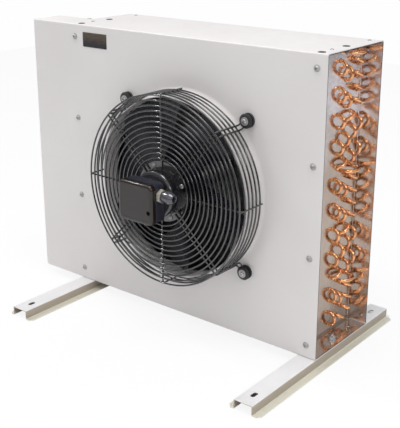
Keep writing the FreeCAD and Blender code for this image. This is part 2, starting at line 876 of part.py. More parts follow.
def terminal_box_base():
    shell = box_slab(seal_plane, box_base_depth)
    shell = shell.cut(box_slab(seal_plane, box_base_depth - box_wall, box_wall))
    shell = fused([shell, lid_screw_rod(seal_plane, lid_post_d, box_base_depth)])
    gland_hole = gland_thread_d + 2 * seat_fit
    drills = [
        rod(box_side - 2 * box_wall, gland_y, gland_z, gland_hole, 3 * box_wall, AXIS_X),
        lid_screw_rod(seal_plane, top_screw_d + 2 * seat_fit, screw_length),
    ]
    return drilled(shell, drills)


def terminal_box_seal():
    frame = box_slab(lid_plane, box_seal).cut(box_slab(lid_plane, box_seal, box_wall))
    frame = fused([frame, lid_screw_rod(lid_plane, lid_post_d, box_seal)])
    return frame.cut(lid_screw_rod(lid_plane, top_screw_d + hole_play, box_seal))


def terminal_box_lid():
    y, inside = lid_plane - box_lid_depth, box_lid_depth - box_wall
    cap = box_slab(y, box_lid_depth)
    rim = [e for e in cap.Edges if e.BoundBox.YMax < y + 0.01]
    cap = cap.makeFillet(box_lid_round, rim)
    cap = cap.cut(box_slab(y + box_wall, inside, box_wall))
    cap = fused([cap, lid_screw_rod(y + box_wall, lid_post_d, inside)])
    well = lid_screw_rod(y, lid_screw_well_d, inside)
    return drilled(cap, [well, lid_screw_rod(y + inside, top_screw_d + hole_play, box_wall)])


def lid_screw():
    one = screw(top_screw_d, screw_length, top_screw_head_d, top_screw_head_h)
    return one.translated(Vec(lid_screw_x, lid_plane - box_wall, lid_screw_z))


def at_gland(shape, x):
    return sideways(shape).translated(Vec(x, gland_y, gland_z))


def cable_gland():
    nose = rod(0, -gland_inside, 0, gland_thread_d, gland_inside)
    thread = rod(0, gland_hex_h, 0, gland_thread_d, gland_nut_length / 2)
    body = fused([nose, hexagon(gland_hex, gland_hex_h), thread])
    return at_gland(body.cut(rod(0, -gland_inside, 0, gland_bore_d, 2 * gland_nut_length)), box_side)


def gland_nut():
    """A cap nut over the gland's thread, tapered towards the cable."""
    r, bore, thread = gland_nut_d / 2, gland_bore_d / 2, gland_thread_d / 2 + seat_fit
    length, half = gland_nut_length, gland_nut_length / 2
    narrowing, taper = gland_nut_taper
    profile = [(thread, 0), (r, 0), (r, length - taper), (r - narrowing, length), (bore, length)]
    profile += [(bore, half), (thread, half)]
    return at_gland(turned(profile), box_side + gland_hex_h)


def gland_lock_nut():
    one = pipe(0, -lock_nut_h, 0, lock_nut_d, gland_thread_d + 2 * seat_fit, lock_nut_h)
    return at_gland(one, box_side - box_wall)


def terminal_block():
    w, d, h = terminal_block_size
    y = box_plane - box_wall
    body = block(box_x - w / 2, box_x + w / 2, y - d, y, box_z - h / 2, box_z + h / 2)
    wells = [rod(box_x + k * w / 4, y - d, box_z, h / 2, d / 2) for k in (-1, 0, 1)]
    return drilled(body, wells)


right_patterns = [down_the_coil(*pair) for pair in zip(right_rows, right_rows_last)]
right_far = down_the_coil(right_crossings, right_crossings_last)
right_wide = down_the_coil(wide_bends, wide_bends)
near_tubes = down_the_coil(left_near, left_near_last)
far_tubes = down_the_coil(left_far, left_far_last)
capped = [
    (gas_x, gas_row, gas_pipe_d, gas_tubes),
    (liquid_x, liquid_row, liquid_pipe_d, liquid_tubes),
]
front_screw = screw(
    screw_d, screw_length, screw_head_d, screw_head_h, screw_washer_d, screw_washer_h
)
top_screw = down(screw(top_screw_d, screw_length / 2, top_screw_head_d, top_screw_head_h))
cage_bore = stack_d + 2 * air_gap

nodes = {
    "front_cover": front_cover(),
    "nameplate_blank": nameplate_blank(),
    "tube_sheet_left": tube_sheet(web_left, -1),
    "tube_sheet_right": tube_sheet(web_right, 1),
    "coil_top_plate": coil_plate(fins_top, top - cover_sheet),
    "coil_bottom_plate": coil_plate(fins_base, base + cover_sheet),
    "fin_block": fin_block(),
    "right_crossing_bends": bends(right_far, 1),
    "right_wide_bends": bends(right_wide, 1),
    "left_bends_front": bends(near_tubes, -1),
    "left_bends_rear": bends(far_tubes, -1),
    "gas_header": header(gas_x, gas_row, gas_pipe_d, gas_stub_d, gas_stub_z, gas_tubes),
    "liquid_header": header(
        liquid_x, liquid_row, liquid_pipe_d, liquid_stub_d, liquid_stub_z, liquid_tubes
    ),
    "header_caps": header_caps(capped),
    "gas_feeders": feeders(gas_tubes, gas_x, gas_row, gas_pipe_d, gas_turn),
    "liquid_feeders": feeders(liquid_tubes, liquid_x, liquid_row, liquid_pipe_d, liquid_turn),
    "gas_stub": stub(gas_x, gas_row, gas_pipe_d, gas_stub_d, gas_stub_z),
    "liquid_stub": stub(liquid_x, liquid_row, liquid_pipe_d, liquid_stub_d, liquid_stub_z),
    "rail_left": rail(rail_xs[0]),
    "rail_right": rail(rail_xs[1]),
    "rail_bolts": rail_bolts(),
    "rail_nuts": rail_nuts(),
    "front_screws": group(front_screw, front_screw_places),
    "top_screws": group(top_screw, top_screw_places),
    "guard_front_rings": guard_front_rings(),
    "guard_side_rings": guard_side_rings(),
    "guard_spokes": guard_spokes(),
    "guard_legs": guard_legs(),
    "dampers": dampers(),
    "damper_washers": damper_washers(),
    "damper_screws": damper_screws(),
    "damper_nuts": damper_nuts(),
    "motor_plate": motor_plate(),
    "motor_screws": motor_screws(),
    "motor_flange": motor_flange(),
    "bearing_front": bearing(flange_plane),
    "bearing_rear": bearing(tube_end - bearing_width),
    "stator_stack": fan_pipe(stack_plane, stack_d, bearing_tube_d + 2 * seat_fit, stack_length),
    "stator_windings": stator_windings(),
    "rotor_can": rotor_can(),
    "rotor_cage": fan_pipe(stack_plane, rotor_d - 2 * rotor_wall, cage_bore, stack_length),
    "rotor_shaft": rotor_shaft(),
    "fan_hub": fan_pipe(hub_plane, hub_d, rotor_d, hub_length),
    "fan_blades": fan_blades(),
    "terminal_box_base": terminal_box_base(),
    "terminal_box_seal": terminal_box_seal(),
    "terminal_box_lid": terminal_box_lid(),
    "terminal_block": terminal_block(),
    "lid_screw": lid_screw(),
    "cable_gland": cable_gland(),
    "gland_nut": gland_nut(),
    "gland_lock_nut": gland_lock_nut(),
}
for number, joined in enumerate(right_patterns, 1):
    nodes[f"right_bends_row_{number}"] = bends(joined, 1)

os.makedirs("parts", exist_ok=True)
for name, shape in nodes.items():
    shape.exportStep(f"parts/{name}.step")
    print(name, len(shape.Solids), shape.isValid(), round(shape.Volume))
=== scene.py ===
import json
import math

import bmesh
import bpy
import numpy as np
from mathutils import Matrix, Vector


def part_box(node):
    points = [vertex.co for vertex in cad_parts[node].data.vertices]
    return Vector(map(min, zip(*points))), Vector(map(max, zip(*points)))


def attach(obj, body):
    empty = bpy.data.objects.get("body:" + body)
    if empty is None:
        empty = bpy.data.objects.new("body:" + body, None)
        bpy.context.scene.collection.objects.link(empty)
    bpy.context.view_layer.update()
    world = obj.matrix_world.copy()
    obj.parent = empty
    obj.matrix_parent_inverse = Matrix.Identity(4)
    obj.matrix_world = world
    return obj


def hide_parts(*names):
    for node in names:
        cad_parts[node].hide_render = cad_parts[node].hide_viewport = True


# Air-cooled condenser: a finned coil in a white folded cover, one axial fan in a wire guard,
# on two rails. Metres. The fixed body is "condenser", and the fan turns with "rotor".

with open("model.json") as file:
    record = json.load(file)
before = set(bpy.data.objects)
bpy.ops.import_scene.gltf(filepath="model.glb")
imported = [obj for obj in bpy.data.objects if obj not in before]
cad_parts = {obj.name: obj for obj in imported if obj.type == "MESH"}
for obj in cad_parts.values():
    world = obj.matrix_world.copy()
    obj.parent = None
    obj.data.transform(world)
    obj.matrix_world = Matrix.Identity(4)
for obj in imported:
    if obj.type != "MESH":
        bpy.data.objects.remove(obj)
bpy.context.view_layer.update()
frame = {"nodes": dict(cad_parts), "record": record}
scene = bpy.context.scene
print("frame loaded,", len(frame["nodes"]), "nodes")


# Sums on sockets, for shaders and geometry trees alike

class Socket:
    def __init__(self, graph, socket):
        self.graph, self.socket = graph, socket

    def maths(self, operation, first, second=0.0):
        return self.graph.node("ShaderNodeMath", {"operation": operation}, {0: first, 1: second})

    def __add__(self, other):
        return self.maths("ADD", self, other)

    def __sub__(self, other):
        return self.maths("SUBTRACT", self, other)

    def __rsub__(self, other):
        return self.maths("SUBTRACT", other, self)

    def __mul__(self, other):
        return self.maths("MULTIPLY", self, other)

    def __abs__(self):
        return self.maths("ABSOLUTE", self)

    __radd__ = __add__
    __rmul__ = __mul__


class Graph:
    # one method makes every node: type, settings, then values or links by socket
    def __init__(self, tree):
        self.tree = tree

    def node(self, kind, settings=None, inputs=None, out=0):
        node = self.tree.nodes.new(kind)
        for key, value in (settings or {}).items():
            setattr(node, key, value)
        for key, value in (inputs or {}).items():
            if isinstance(value, Socket):
                self.tree.links.new(value.socket, node.inputs[key])
            else:
                node.inputs[key].default_value = value
        return Socket(self, node.outputs[out]) if len(node.outputs) else None


class Finish(Graph):
    # a procedural material, its patterns in the object's own coordinates
    def __init__(self, name):
        self.material = bpy.data.materials.new(name)
        self.material.use_nodes = True
        super().__init__(self.material.node_tree)
        self.tree.nodes.clear()
        self.place = self.node("ShaderNodeTexCoord", out="Object")

    def along(self, axis):
        # one of the object's own coordinates
        return self.node("ShaderNodeSeparateXYZ", None, {0: self.place}, axis)

    def stretched(self, x, y, z):
        return self.node("ShaderNodeMapping", None, {"Vector": self.place, "Scale": (x, y, z)})

    def noise(self, scale, detail=3.0, roughness=0.5, place=None):
        values = {"Vector": place or self.place, "Scale": scale, "Detail": detail}
        return self.node("ShaderNodeTexNoise", None, {**values, "Roughness": roughness})

    def cells(self, scale, out="Distance", feature="F1"):
        values = {"Vector": self.place, "Scale": scale}
        return self.node("ShaderNodeTexVoronoi", {"feature": feature}, values, out)

    def between(self, value, low, high, first=0.0, last=1.0):
        values = {"Value": value, 1: low, 2: high, 3: first, 4: last}
        return self.node("ShaderNodeMapRange", {"interpolation_type": "SMOOTHSTEP"}, values)

    def mixed(self, factor, first, second):
        values = {"Factor": factor, 6: first, 7: second}
        return self.node("ShaderNodeMix", {"data_type": "RGBA"}, values, 2)

    def bumped(self, height, strength, distance, normal=None):
        values = {"Height": height, "Strength": strength, "Distance": distance}
        if normal:
            values["Normal"] = normal
        return self.node("ShaderNodeBump", None, values)

    def surface(self, **inputs):
        named = {key.replace("_", " "): value for key, value in inputs.items()}
        shader = self.node("ShaderNodeBsdfPrincipled", None, named)
        self.node("ShaderNodeOutputMaterial", None, {"Surface": shader})
        return self.material


def rgb(r, g, b):
    return (r, g, b, 1.0)


# Finishes

def powderCoat():
    f = Finish("whitePowderCoat")
    shade = f.between(f.noise(4.0, 4), 0.3, 0.7)
    colour = f.mixed(shade, rgb(0.76, 0.726, 0.716), rgb(0.795, 0.764, 0.754))
    grit = f.noise(700.0, 2)
    return f.surface(
        Base_Color=colour,
        Roughness=f.between(f.noise(60.0), 0.2, 0.8, 0.34, 0.46),
        Normal=f.bumped(grit, 0.25, 0.00012),
        Specular_IOR_Level=0.5,
    )


def galvanisedSheet():
    # zinc sheet, darker and warmer low down and paler and cooler toward its top as a painted
    # reflection of a dim room; its flanges are made brighter as painted light, and end in a dark cut
    # edge
    f = Finish("brightGalvanised")
    low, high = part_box("tube_sheet_right")
    x = f.along("X")
    spangle = f.cells(160.0, "Color")
    tone = f.between(f.node("ShaderNodeRGBToBW", None, {0: spangle}), 0.1, 0.9)
    stain = f.between(f.noise(22.0, 5), 0.35, 0.7)
    height = f.along("Z") + 0.12 * f.noise(7.0, 2, place=f.stretched(1.0, 0.6, 2.5))
    # painted reflection: the sheet turns paler and cooler toward its top
    paintedReflectionTop = f.between(height, 0.40, 0.58)
    paintedReflectionTone = f.mixed(paintedReflectionTop, rgb(0.50, 0.405, 0.34), rgb(0.82, 0.76, 0.79))
    worn = f.mixed(tone * 0.2 + stain * 0.3, paintedReflectionTone, rgb(0.40, 0.33, 0.275))
    # painted light: the flanges are brighter than the web
    flange = f.mixed(f.between(x, low.x + 0.003, low.x + 0.009), worn, rgb(0.86, 0.83, 0.81))
    cut = f.between(x, high.x - 0.0006, high.x - 0.0003)
    return f.surface(
        Base_Color=f.mixed(cut, flange, rgb(0.1, 0.09, 0.09)),
        Metallic=1.0,
        Roughness=f.between(f.noise(70.0, 3) + 0.15 * tone, 0.3, 0.8, 0.1, 0.2),
        Normal=f.bumped(f.noise(9.0, 1.5) + 0.05 * tone, 0.12, 0.004),
    )


def railSheet():
    # pale on top and lighter on the lips as painted light, taupe down the sides as painted shade, and
    # faintly green along the lips
    f = Finish("railSheet")
    z = f.along("Z")
    mill = f.between(f.noise(30.0, 4, place=f.stretched(1.0, 0.15, 1.0)), 0.35, 0.7)
    # painted shade: the sides darker than the top
    side = f.mixed(mill * 0.5, rgb(0.46, 0.40, 0.33), rgb(0.39, 0.34, 0.27))
    # painted light: the lips lighter than the sides
    lip = f.mixed(f.between(z, 0.0026, 0.0038), rgb(0.80, 0.775, 0.66), side)
    # painted light: the top near white
    crown = f.mixed(mill * 0.5, rgb(0.90, 0.89, 0.89), rgb(0.84, 0.84, 0.83))
    return f.surface(
        Base_Color=f.mixed(f.between(z, 0.0183, 0.0197), lip, crown),
        Metallic=0.25,
        Roughness=f.between(f.noise(90.0, 3), 0.3, 0.7, 0.3, 0.42),
        Normal=f.bumped(f.noise(400.0, 2), 0.1, 0.0002),
    )


def copperTube():
    f = Finish("bareCopper")
    heat = f.between(f.noise(55.0, 4), 0.38, 0.66)
    drawn = f.noise(90.0, 3, place=f.stretched(0.4, 1.0, 1.0))
    base = f.mixed(heat * 0.45, rgb(0.94, 0.48, 0.24), rgb(0.54, 0.20, 0.09))
    return f.surface(
        Base_Color=base,
        Metallic=1.0,
        Roughness=f.between(drawn, 0.3, 0.7, 0.12, 0.24),
        Normal=f.bumped(f.noise(600.0, 2), 0.1, 0.0001),
    )


def brazing():
    f = Finish("brazedJoint")
    soot = f.between(f.noise(240.0, 4), 0.4, 0.62)
    return f.surface(
        Base_Color=f.mixed(soot, rgb(0.82, 0.42, 0.19), rgb(0.40, 0.17, 0.08)),
        Metallic=0.9,
        Roughness=f.between(f.noise(300.0), 0.3, 0.7, 0.3, 0.55),
        Normal=f.bumped(f.noise(900.0, 3), 0.4, 0.0004),
    )


def coated(name, colour, low, high, grain, depth, coat, shine=0.5):
    # paint on metal: a fine grain under a clear gloss
    f = Finish(name)
    light = tuple(min(1.0, 1.8 * c + 0.01) for c in colour[:3]) + (1.0,)
    return f.surface(
        Base_Color=f.mixed(f.between(f.noise(35.0, 5), 0.45, 0.75) * 0.3, colour, light),
        Roughness=f.between(f.noise(120.0, 3), 0.25, 0.75, low, high),
        Specular_IOR_Level=shine,
        Coat_Weight=coat,
        Coat_Roughness=0.06,
        Normal=f.bumped(f.noise(grain, 3), 0.3, depth),
    )


def moulded(name, colour, low, high, grain=1500.0, depth=0.0001):
    # plastic or rubber with a fine moulded texture
    f = Finish(name)
    faded = tuple(min(1.0, 1.35 * c + 0.006) for c in colour[:3]) + (1.0,)
    return f.surface(
        Base_Color=f.mixed(f.between(f.noise(28.0, 4), 0.4, 0.7) * 0.6, colour, faded),
        Roughness=f.between(f.noise(90.0, 3), 0.25, 0.75, low, high),
        Normal=f.bumped(f.noise(grain, 2), 0.35, depth),
    )


def plated(name, colour, tarnish, low, high, metal=1.0, grained=True):
    # zinc or steel with dull spots
    f = Finish(name)
    spots = f.between(f.noise(140.0, 4), 0.45, 0.7)
    values = {"Metallic": metal, "Roughness": f.between(f.noise(260.0, 3), 0.3, 0.7, low, high)}
    if grained:
        values["Normal"] = f.bumped(f.noise(800.0, 2), 0.15, 0.0002)
    return f.surface(Base_Color=f.mixed(spots * 0.6, colour, tarnish), **values)


def plateMetal():
    # brown at the top and near black at the foot as a painted reflection, with fine rubbed lines
    f = Finish("darkPlate")
    low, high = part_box("nameplate_blank")
    # painted reflection: the plate darkens from its top down to its foot
    paintedReflectionRise = f.between(f.along("Z"), low.z, high.z)
    rubbed = f.between(f.noise(300.0, 3, place=f.stretched(0.2, 1.0, 1.0)), 0.35, 0.65)
    deep = f.mixed(rubbed, rgb(0.034, 0.034, 0.040), rgb(0.050, 0.050, 0.056))
    paintedReflectionBrown = f.mixed(rubbed, rgb(0.125, 0.095, 0.068), rgb(0.165, 0.125, 0.092))
    return f.surface(
        Base_Color=f.mixed(paintedReflectionRise, deep, paintedReflectionBrown),
        Metallic=0.6,
        Roughness=f.between(f.noise(200.0), 0.3, 0.7, 0.3, 0.42),
    )


def finSheet():
    f = Finish("aluminiumFins")
    dust = f.between(f.noise(16.0, 5), 0.45, 0.75)
    return f.surface(
        Base_Color=f.mixed(dust * 0.5, rgb(0.80, 0.81, 0.82), rgb(0.52, 0.52, 0.51)),
        Metallic=0.9,
        Roughness=f.between(f.noise(400.0), 0.3, 0.7, 0.32, 0.5),
    )


finishes = {
    "white_paint": powderCoat(),
    "galvanised": galvanisedSheet(),
    "rail": railSheet(),
    "fins": finSheet(),
    "copper": copperTube(),
    "brazing": brazing(),
    "zinc": plated("zincPlate", rgb(0.60, 0.59, 0.585), rgb(0.28, 0.275, 0.27), 0.18, 0.34),
    "dull_zinc": plated(
        "dullZinc", rgb(0.46, 0.45, 0.44), rgb(0.30, 0.29, 0.285), 0.3, 0.45, 0.45, False
    ),
    "black_wire": coated(
        "blackGuardCoat", rgb(0.003, 0.003, 0.003), 0.12, 0.2, 500.0, 0.00002, 1.0, 0.8
    ),
    "motor_black": coated("motorBlack", rgb(0.012, 0.012, 0.015), 0.16, 0.28, 700.0, 0.0002, 0.8),
    "motor_cast": coated("castBlack", rgb(0.012, 0.012, 0.014), 0.14, 0.26, 450.0, 0.0001, 1.0),
    "rubber": moulded("blackRubber", rgb(0.014, 0.014, 0.014), 0.36, 0.52, 1200.0, 0.0002),
    "box_plastic": coated(
        "boxLid", rgb(0.016, 0.0105, 0.0085), 0.14, 0.2, 1500.0, 0.00002, 0.25, 0.45
    ),
    # the blue in this near black is a painted sheen
    "box_black": coated("boxBase", rgb(0.024, 0.024, 0.036), 0.28, 0.4, 1500.0, 0.00008, 0.5),
    "grey_plastic": moulded("greyGland", rgb(0.34, 0.32, 0.27), 0.28, 0.42),
    "dark_gland": coated("glandNut", rgb(0.050, 0.050, 0.062), 0.12, 0.2, 900.0, 0.0001, 1.0),
    "plate_dark": plateMetal(),
    "blade_paint": coated("bladeCoat", rgb(0.012, 0.011, 0.020), 0.2, 0.3, 380.0, 0.00003, 0.25),
    "steel": plated("machinedSteel", rgb(0.60, 0.60, 0.60), rgb(0.45, 0.44, 0.43), 0.2, 0.35),
    "winding": coated("windingWire", rgb(0.34, 0.12, 0.04), 0.2, 0.35, 900.0, 0.0006, 0.6),
}
print("finishes made,", len(finishes))


# Meshes

fixed, turning = "condenser", "rotor"


def keep(piece, body, slot, *nodes):
    # a finished mesh rides on its body and stands for the nodes it replaces
    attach(piece, body)
    if nodes:
        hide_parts(*nodes)
    return piece


def newObject(name, mesh, finish=None):
    piece = bpy.data.objects.new(name, mesh)
    scene.collection.objects.link(piece)
    if finish:
        mesh.materials.clear()
        mesh.materials.append(finishes[finish])
    return piece


def shaded(mesh, angle=35.0):
    for face in mesh.polygons:
        face.use_smooth = True
    mesh.set_sharp_from_angle(angle=math.radians(angle))
    return mesh


def built(name, verts, faces, finish, angle=35.0, closed=True):
    mesh = bpy.data.meshes.new(name)
    mesh.from_pydata([tuple(v) for v in verts], [], faces)
    if closed:
        shape = bmesh.new()
        shape.from_mesh(mesh)
        bmesh.ops.remove_doubles(shape, verts=shape.verts, dist=1e-7)
        bmesh.ops.recalc_face_normals(shape, faces=shape.faces)
        shape.to_mesh(mesh)
        shape.free()
    return newObject(name, shaded(mesh, angle), finish)


def frozen(piece, angle=35.0):
    # the evaluated result as a plain mesh, its modifiers gone
    bpy.context.view_layer.update()
    found = bpy.context.evaluated_depsgraph_get()
    mesh = bpy.data.meshes.new_from_object(piece.evaluated_get(found))
    name = piece.name
    materials = [slot.material for slot in piece.material_slots if slot.material]
    bpy.data.objects.remove(piece)
    if not mesh.materials:
        for material in materials:
            mesh.materials.append(material)
    mesh.name = name
    return newObject(name, shaded(mesh, angle))


def cutAway(piece, cutters, angle=35.0):
    # takes closed shapes out of a closed shape
    for cutter in cutters:
        modifier = piece.modifiers.new("cut", "BOOLEAN")
        modifier.operation, modifier.solver, modifier.object = "DIFFERENCE", "EXACT", cutter
    piece = frozen(piece, angle)
    for cutter in cutters:
        bpy.data.objects.remove(cutter)
    return piece


def flatFaced(piece):
    # broad faces keep their own direction, so that only the folds look round
    even = piece.modifiers.new("even", "WEIGHTED_NORMAL")
    even.mode, even.weight, even.keep_sharp = "FACE_AREA", 50, True
    return frozen(piece)


def joined(name, parts):
    shape = bmesh.new()
    for part in parts:
        shape.from_mesh(part.data)
    mesh = bpy.data.meshes.new(name)
    shape.to_mesh(mesh)
    shape.free()
    for material in parts[0].data.materials:
        mesh.materials.append(material)
    for part in parts:
        bpy.data.objects.remove(part)
    return newObject(name, shaded(mesh))


def placed(piece, matrix):
    piece.data.transform(matrix)
    if matrix.determinant() < 0:
        piece.data.flip_normals()
    return piece


def softened(points, radius, steps=4, closed=False):
    # each corner of a line of points is replaced by a round stretch
    points = [Vector(p) for p in points]
    count, path = len(points), []
    for k, corner in enumerate(points):
        if not closed and k in (0, count - 1):
            path.append(corner)
            continue
        before, after = points[k - 1] - corner, points[(k + 1) % count] - corner
        reach = radius[k] if isinstance(radius, (list, tuple)) else radius
        half = before.angle(after) / 2
        cut = min(reach / max(math.tan(half), 1e-3), 0.49 * before.length, 0.49 * after.length)
        if cut < 1e-6 or half > math.radians(88):
            path.append(corner)
            continue
        start, end = corner + before.normalized() * cut, corner + after.normalized() * cut
        for s in range(steps + 1):
            u = s / steps
            path.append(start * (1 - u) ** 2 + corner * (2 * u * (1 - u)) + end * u * u)
    return path


def turnedMesh(name, profile, finish, steps=48, loop=False, angle=35.0, ribs=None, soft=0, bends=3):
    # a shape turned about Y from (radius, y) points, its corners rounded by soft, a length or
    # one for each corner; ribs are (count, depth, first y, last y)
    if soft:
        line = softened([(r, y, 0) for r, y in profile], soft, bends, loop)
        profile = [(max(p.x, 0.0), p.y) for p in line]
    verts, rings, faces = [], [], []
    for r, y in profile:
        if r < 1e-6:
            rings.append([len(verts)])
            verts.append((0, y, 0))
            continue
        rings.append(range(len(verts), len(verts) + steps))
        for k in range(steps):
            a = math.tau * k / steps
            wide = r
            if ribs and ribs[2] <= y <= ribs[3]:
                wide = r - ribs[1] * (0.5 + 0.5 * math.cos(a * ribs[0]))
            verts.append((wide * math.cos(a), y, wide * math.sin(a)))
    pairs = list(zip(rings, rings[1:]))
    if loop:
        pairs.append((rings[-1], rings[0]))
    for a, b in pairs:
        for k in range(steps):
            n = (k + 1) % steps
            corners = [a[k % len(a)], a[n % len(a)], b[n % len(b)], b[k % len(b)]]
            faces.append(list(dict.fromkeys(corners)))
    return built(name, verts, faces, finish, angle)


def lofted(rings, loop=False):
    # four-sided faces between rings of equal length
    pairs = list(zip(rings, rings[1:])) + ([(rings[-1], rings[0])] if loop else [])
    return [(a[k - 1], a[k], b[k], b[k - 1]) for a, b in pairs for k in range(len(a))]


def block(name, low, high):
    xs, ys, zs = zip(low, high)
    corners = [(x, y, z) for x in xs for y in ys for z in zs]
    faces = [(0, 1, 3, 2), (4, 6, 7, 5), (0, 4, 5, 1), (2, 3, 7, 6), (0, 2, 6, 4), (1, 5, 7, 3)]
    return built(name, corners, faces, None)


def rodAlong(name, start, axis, radius, length, steps=32):
    piece = turnedMesh(name, [(0, 0), (radius, 0), (radius, length), (0, length)], None, steps)
    turn = Vector((0, 1, 0)).rotation_difference(Vector(axis)).to_matrix().to_4x4()
    return placed(piece, Matrix.Translation(start) @ turn)


def prism(name, outline, normal, depth):
    # a flat outline drawn out along a direction
    count, reach = len(outline), Vector(normal) * depth
    verts = [Vector(p) for p in outline] + [Vector(p) + reach for p in outline]
    faces = [list(range(count)), list(range(2 * count - 1, count - 1, -1))]
    faces += [(k, (k + 1) % count, (k + 1) % count + count, k + count) for k in range(count)]
    return built(name, verts, faces, None)


def slab(name, centre, size, corner, profile, finish, steps=7, angle=35.0):
    # rounded rectangles stacked along Y; profile holds (y, inset) and closes at both ends
    verts, rings = [], []
    for y, inset in profile:
        w, h, r = size[0] / 2 - inset, size[1] / 2 - inset, max(corner - inset, 0.0002)
        ring = []
        for q, (a, b) in enumerate([(1, 1), (-1, 1), (-1, -1), (1, -1)]):
            for s in range(steps + 1):
                turn = math.pi / 2 * (q + s / steps)
                ring.append(len(verts))
                x = centre[0] + a * (w - r) + r * math.cos(turn)
                verts.append((x, y, centre[1] + b * (h - r) + r * math.sin(turn)))
        rings.append(ring)
    faces = lofted(rings) + [rings[0][::-1], rings[-1]]
    return built(name, verts, faces, finish, angle)


# Geometry trees

class Growth(Graph):
    # a geometry tree with named inputs, which leaves a plain mesh behind
    kinds = {
        "geometry": "NodeSocketGeometry", "int": "NodeSocketInt", "float": "NodeSocketFloat",
        "vector": "NodeSocketVector", "object": "NodeSocketObject",
        "material": "NodeSocketMaterial",
    }

    def __init__(self, name, **inputs):
        super().__init__(bpy.data.node_groups.new(name, "GeometryNodeTree"))
        face = self.tree.interface
        face.new_socket("Geometry", in_out="INPUT", socket_type=self.kinds["geometry"])
        for key, kind in {**inputs, "Finish": "material"}.items():
            face.new_socket(key.replace("_", " "), in_out="INPUT", socket_type=self.kinds[kind])
        face.new_socket("Geometry", in_out="OUTPUT", socket_type=self.kinds["geometry"])
        self.entry = self.tree.nodes.new("NodeGroupInput")

    def given(self, name):
        return Socket(self, self.entry.outputs[name])

    def vector(self, x=0.0, y=0.0, z=0.0):
        return self.node("ShaderNodeCombineXYZ", None, {"X": x, "Y": y, "Z": z})

    def close(self, geometry):
        real = self.node("GeometryNodeRealizeInstances", None, {0: geometry})
        values = {"Geometry": real, "Material": self.given("Finish")}
        dressed = self.node("GeometryNodeSetMaterial", None, values)
        leave = self.tree.nodes.new("NodeGroupOutput")
        self.tree.links.new(dressed.socket, leave.inputs[0])
        return self

    def run(self, source, finish, angle=35.0, **values):
        modifier = source.modifiers.new("grow", "NODES")
        modifier.node_group = self.tree
        named = {key.replace("_", " "): value for key, value in values.items()}
        named["Finish"] = finishes[finish]
        for item in self.tree.interface.items_tree:
            if item.item_type == "SOCKET" and item.in_out == "INPUT" and item.name in named:
                modifier[item.identifier] = named[item.name]
        return frozen(source, angle)


def wireGrowth():
    # round wire or tube along curves
    g = Growth("wireAlong", Radius="float", Sides="int")
    circle = {"Resolution": g.given("Sides"), "Radius": g.given("Radius")}
    ring = g.node("GeometryNodeCurvePrimitiveCircle", None, circle)
    values = {"Curve": g.given("Geometry"), "Profile Curve": ring, "Fill Caps": True}
    return g.close(g.node("GeometryNodeCurveToMesh", None, values))


def ringGrowth():
    # concentric rings of wire: each next one smaller by a step and further by another
    g = Growth("guardRings", Count="int", Centre="vector", First_Radius="float",
               Radius_Step="float", Depth_Step="float", Wire_Radius="float", Sides="int",
               Turns="int")
    start = {"Count": g.given("Count"), "Start Location": g.given("Centre")}
    step = g.vector(y=g.given("Depth Step"))
    line = g.node("GeometryNodeMeshLine", None, {**start, "Offset": step})
    ring = g.node("GeometryNodeCurvePrimitiveCircle", None, {"Resolution": g.given("Turns")})
    size = g.given("First Radius") - g.node("GeometryNodeInputIndex") * g.given("Radius Step")
    values = {"Points": line, "Instance": ring, "Rotation": (math.pi / 2, 0, 0)}
    values["Scale"] = g.vector(size, size, size)
    rings = g.node("GeometryNodeInstanceOnPoints", None, values)
    circle = {"Resolution": g.given("Sides"), "Radius": g.given("Wire Radius")}
    profile = g.node("GeometryNodeCurvePrimitiveCircle", None, circle)
    curves = g.node("GeometryNodeRealizeInstances", None, {0: rings})
    return g.close(g.node("GeometryNodeCurveToMesh", None, {0: curves, 1: profile}))


def wheelGrowth():
    # copies of a shape turned about the fan's axis
    g = Growth("aboutTheAxis", Count="int", Centre="vector", First_Turn="float", Turn="float")
    start = {"Count": g.given("Count"), "Start Location": g.given("Centre")}
    line = g.node("GeometryNodeMeshLine", None, {**start, "Offset": (0, 0, 0)})
    turn = g.given("First Turn") + g.node("GeometryNodeInputIndex") * g.given("Turn")
    values = {"Points": line, "Instance": g.given("Geometry"), "Rotation": g.vector(y=turn)}
    return g.close(g.node("GeometryNodeInstanceOnPoints", None, values))


def seatGrowth():
    # one shape set down at every point of a mesh
    g = Growth("atEachSeat", Copy="object", Turn="vector")
    copy = g.node("GeometryNodeObjectInfo", None, {"Object": g.given("Copy")}, "Geometry")
    values = {"Points": g.given("Geometry"), "Instance": copy, "Rotation": g.given("Turn")}
    return g.close(g.node("GeometryNodeInstanceOnPoints", None, values))


def stackGrowth():
    # a row of equal plates, one pitch apart
    g = Growth("plateStack", Count="int", Start="vector", Pitch="float")
    start = {"Count": g.given("Count"), "Start Location": g.given("Start")}
    line = g.node("GeometryNodeMeshLine", None, {**start, "Offset": g.vector(x=g.given("Pitch"))})
    values = {"Points": line, "Instance": g.given("Geometry")}
    return g.close(g.node("GeometryNodeInstanceOnPoints", None, values))


wireAlong, guardRings, aboutTheAxis = wireGrowth(), ringGrowth(), wheelGrowth()
atEachSeat, plateStack = seatGrowth(), stackGrowth()


def wires(name, paths, radius, sides, finish, loop=False, angle=50.0):
    line = bpy.data.curves.new(name, "CURVE")
    line.dimensions = "3D"
    for path in paths:
        spline = line.splines.new("POLY")
        spline.points.add(len(path) - 1)
        for point, place in zip(spline.points, path):
            point.co = (*place, 1)
        spline.use_cyclic_u = loop
    return wireAlong.run(newObject(name, line), finish, angle, Radius=radius, Sides=sides)


def seated(name, copy, places, finish, turn=(0, 0, 0), angle=35.0):
    mesh = bpy.data.meshes.new(name)
    mesh.from_pydata([tuple(p) for p in places], [], [])
    piece = atEachSeat.run(newObject(name, mesh), finish, angle, Copy=copy, Turn=turn)
    bpy.data.objects.remove(copy)
    return piece


# Places read from the frame

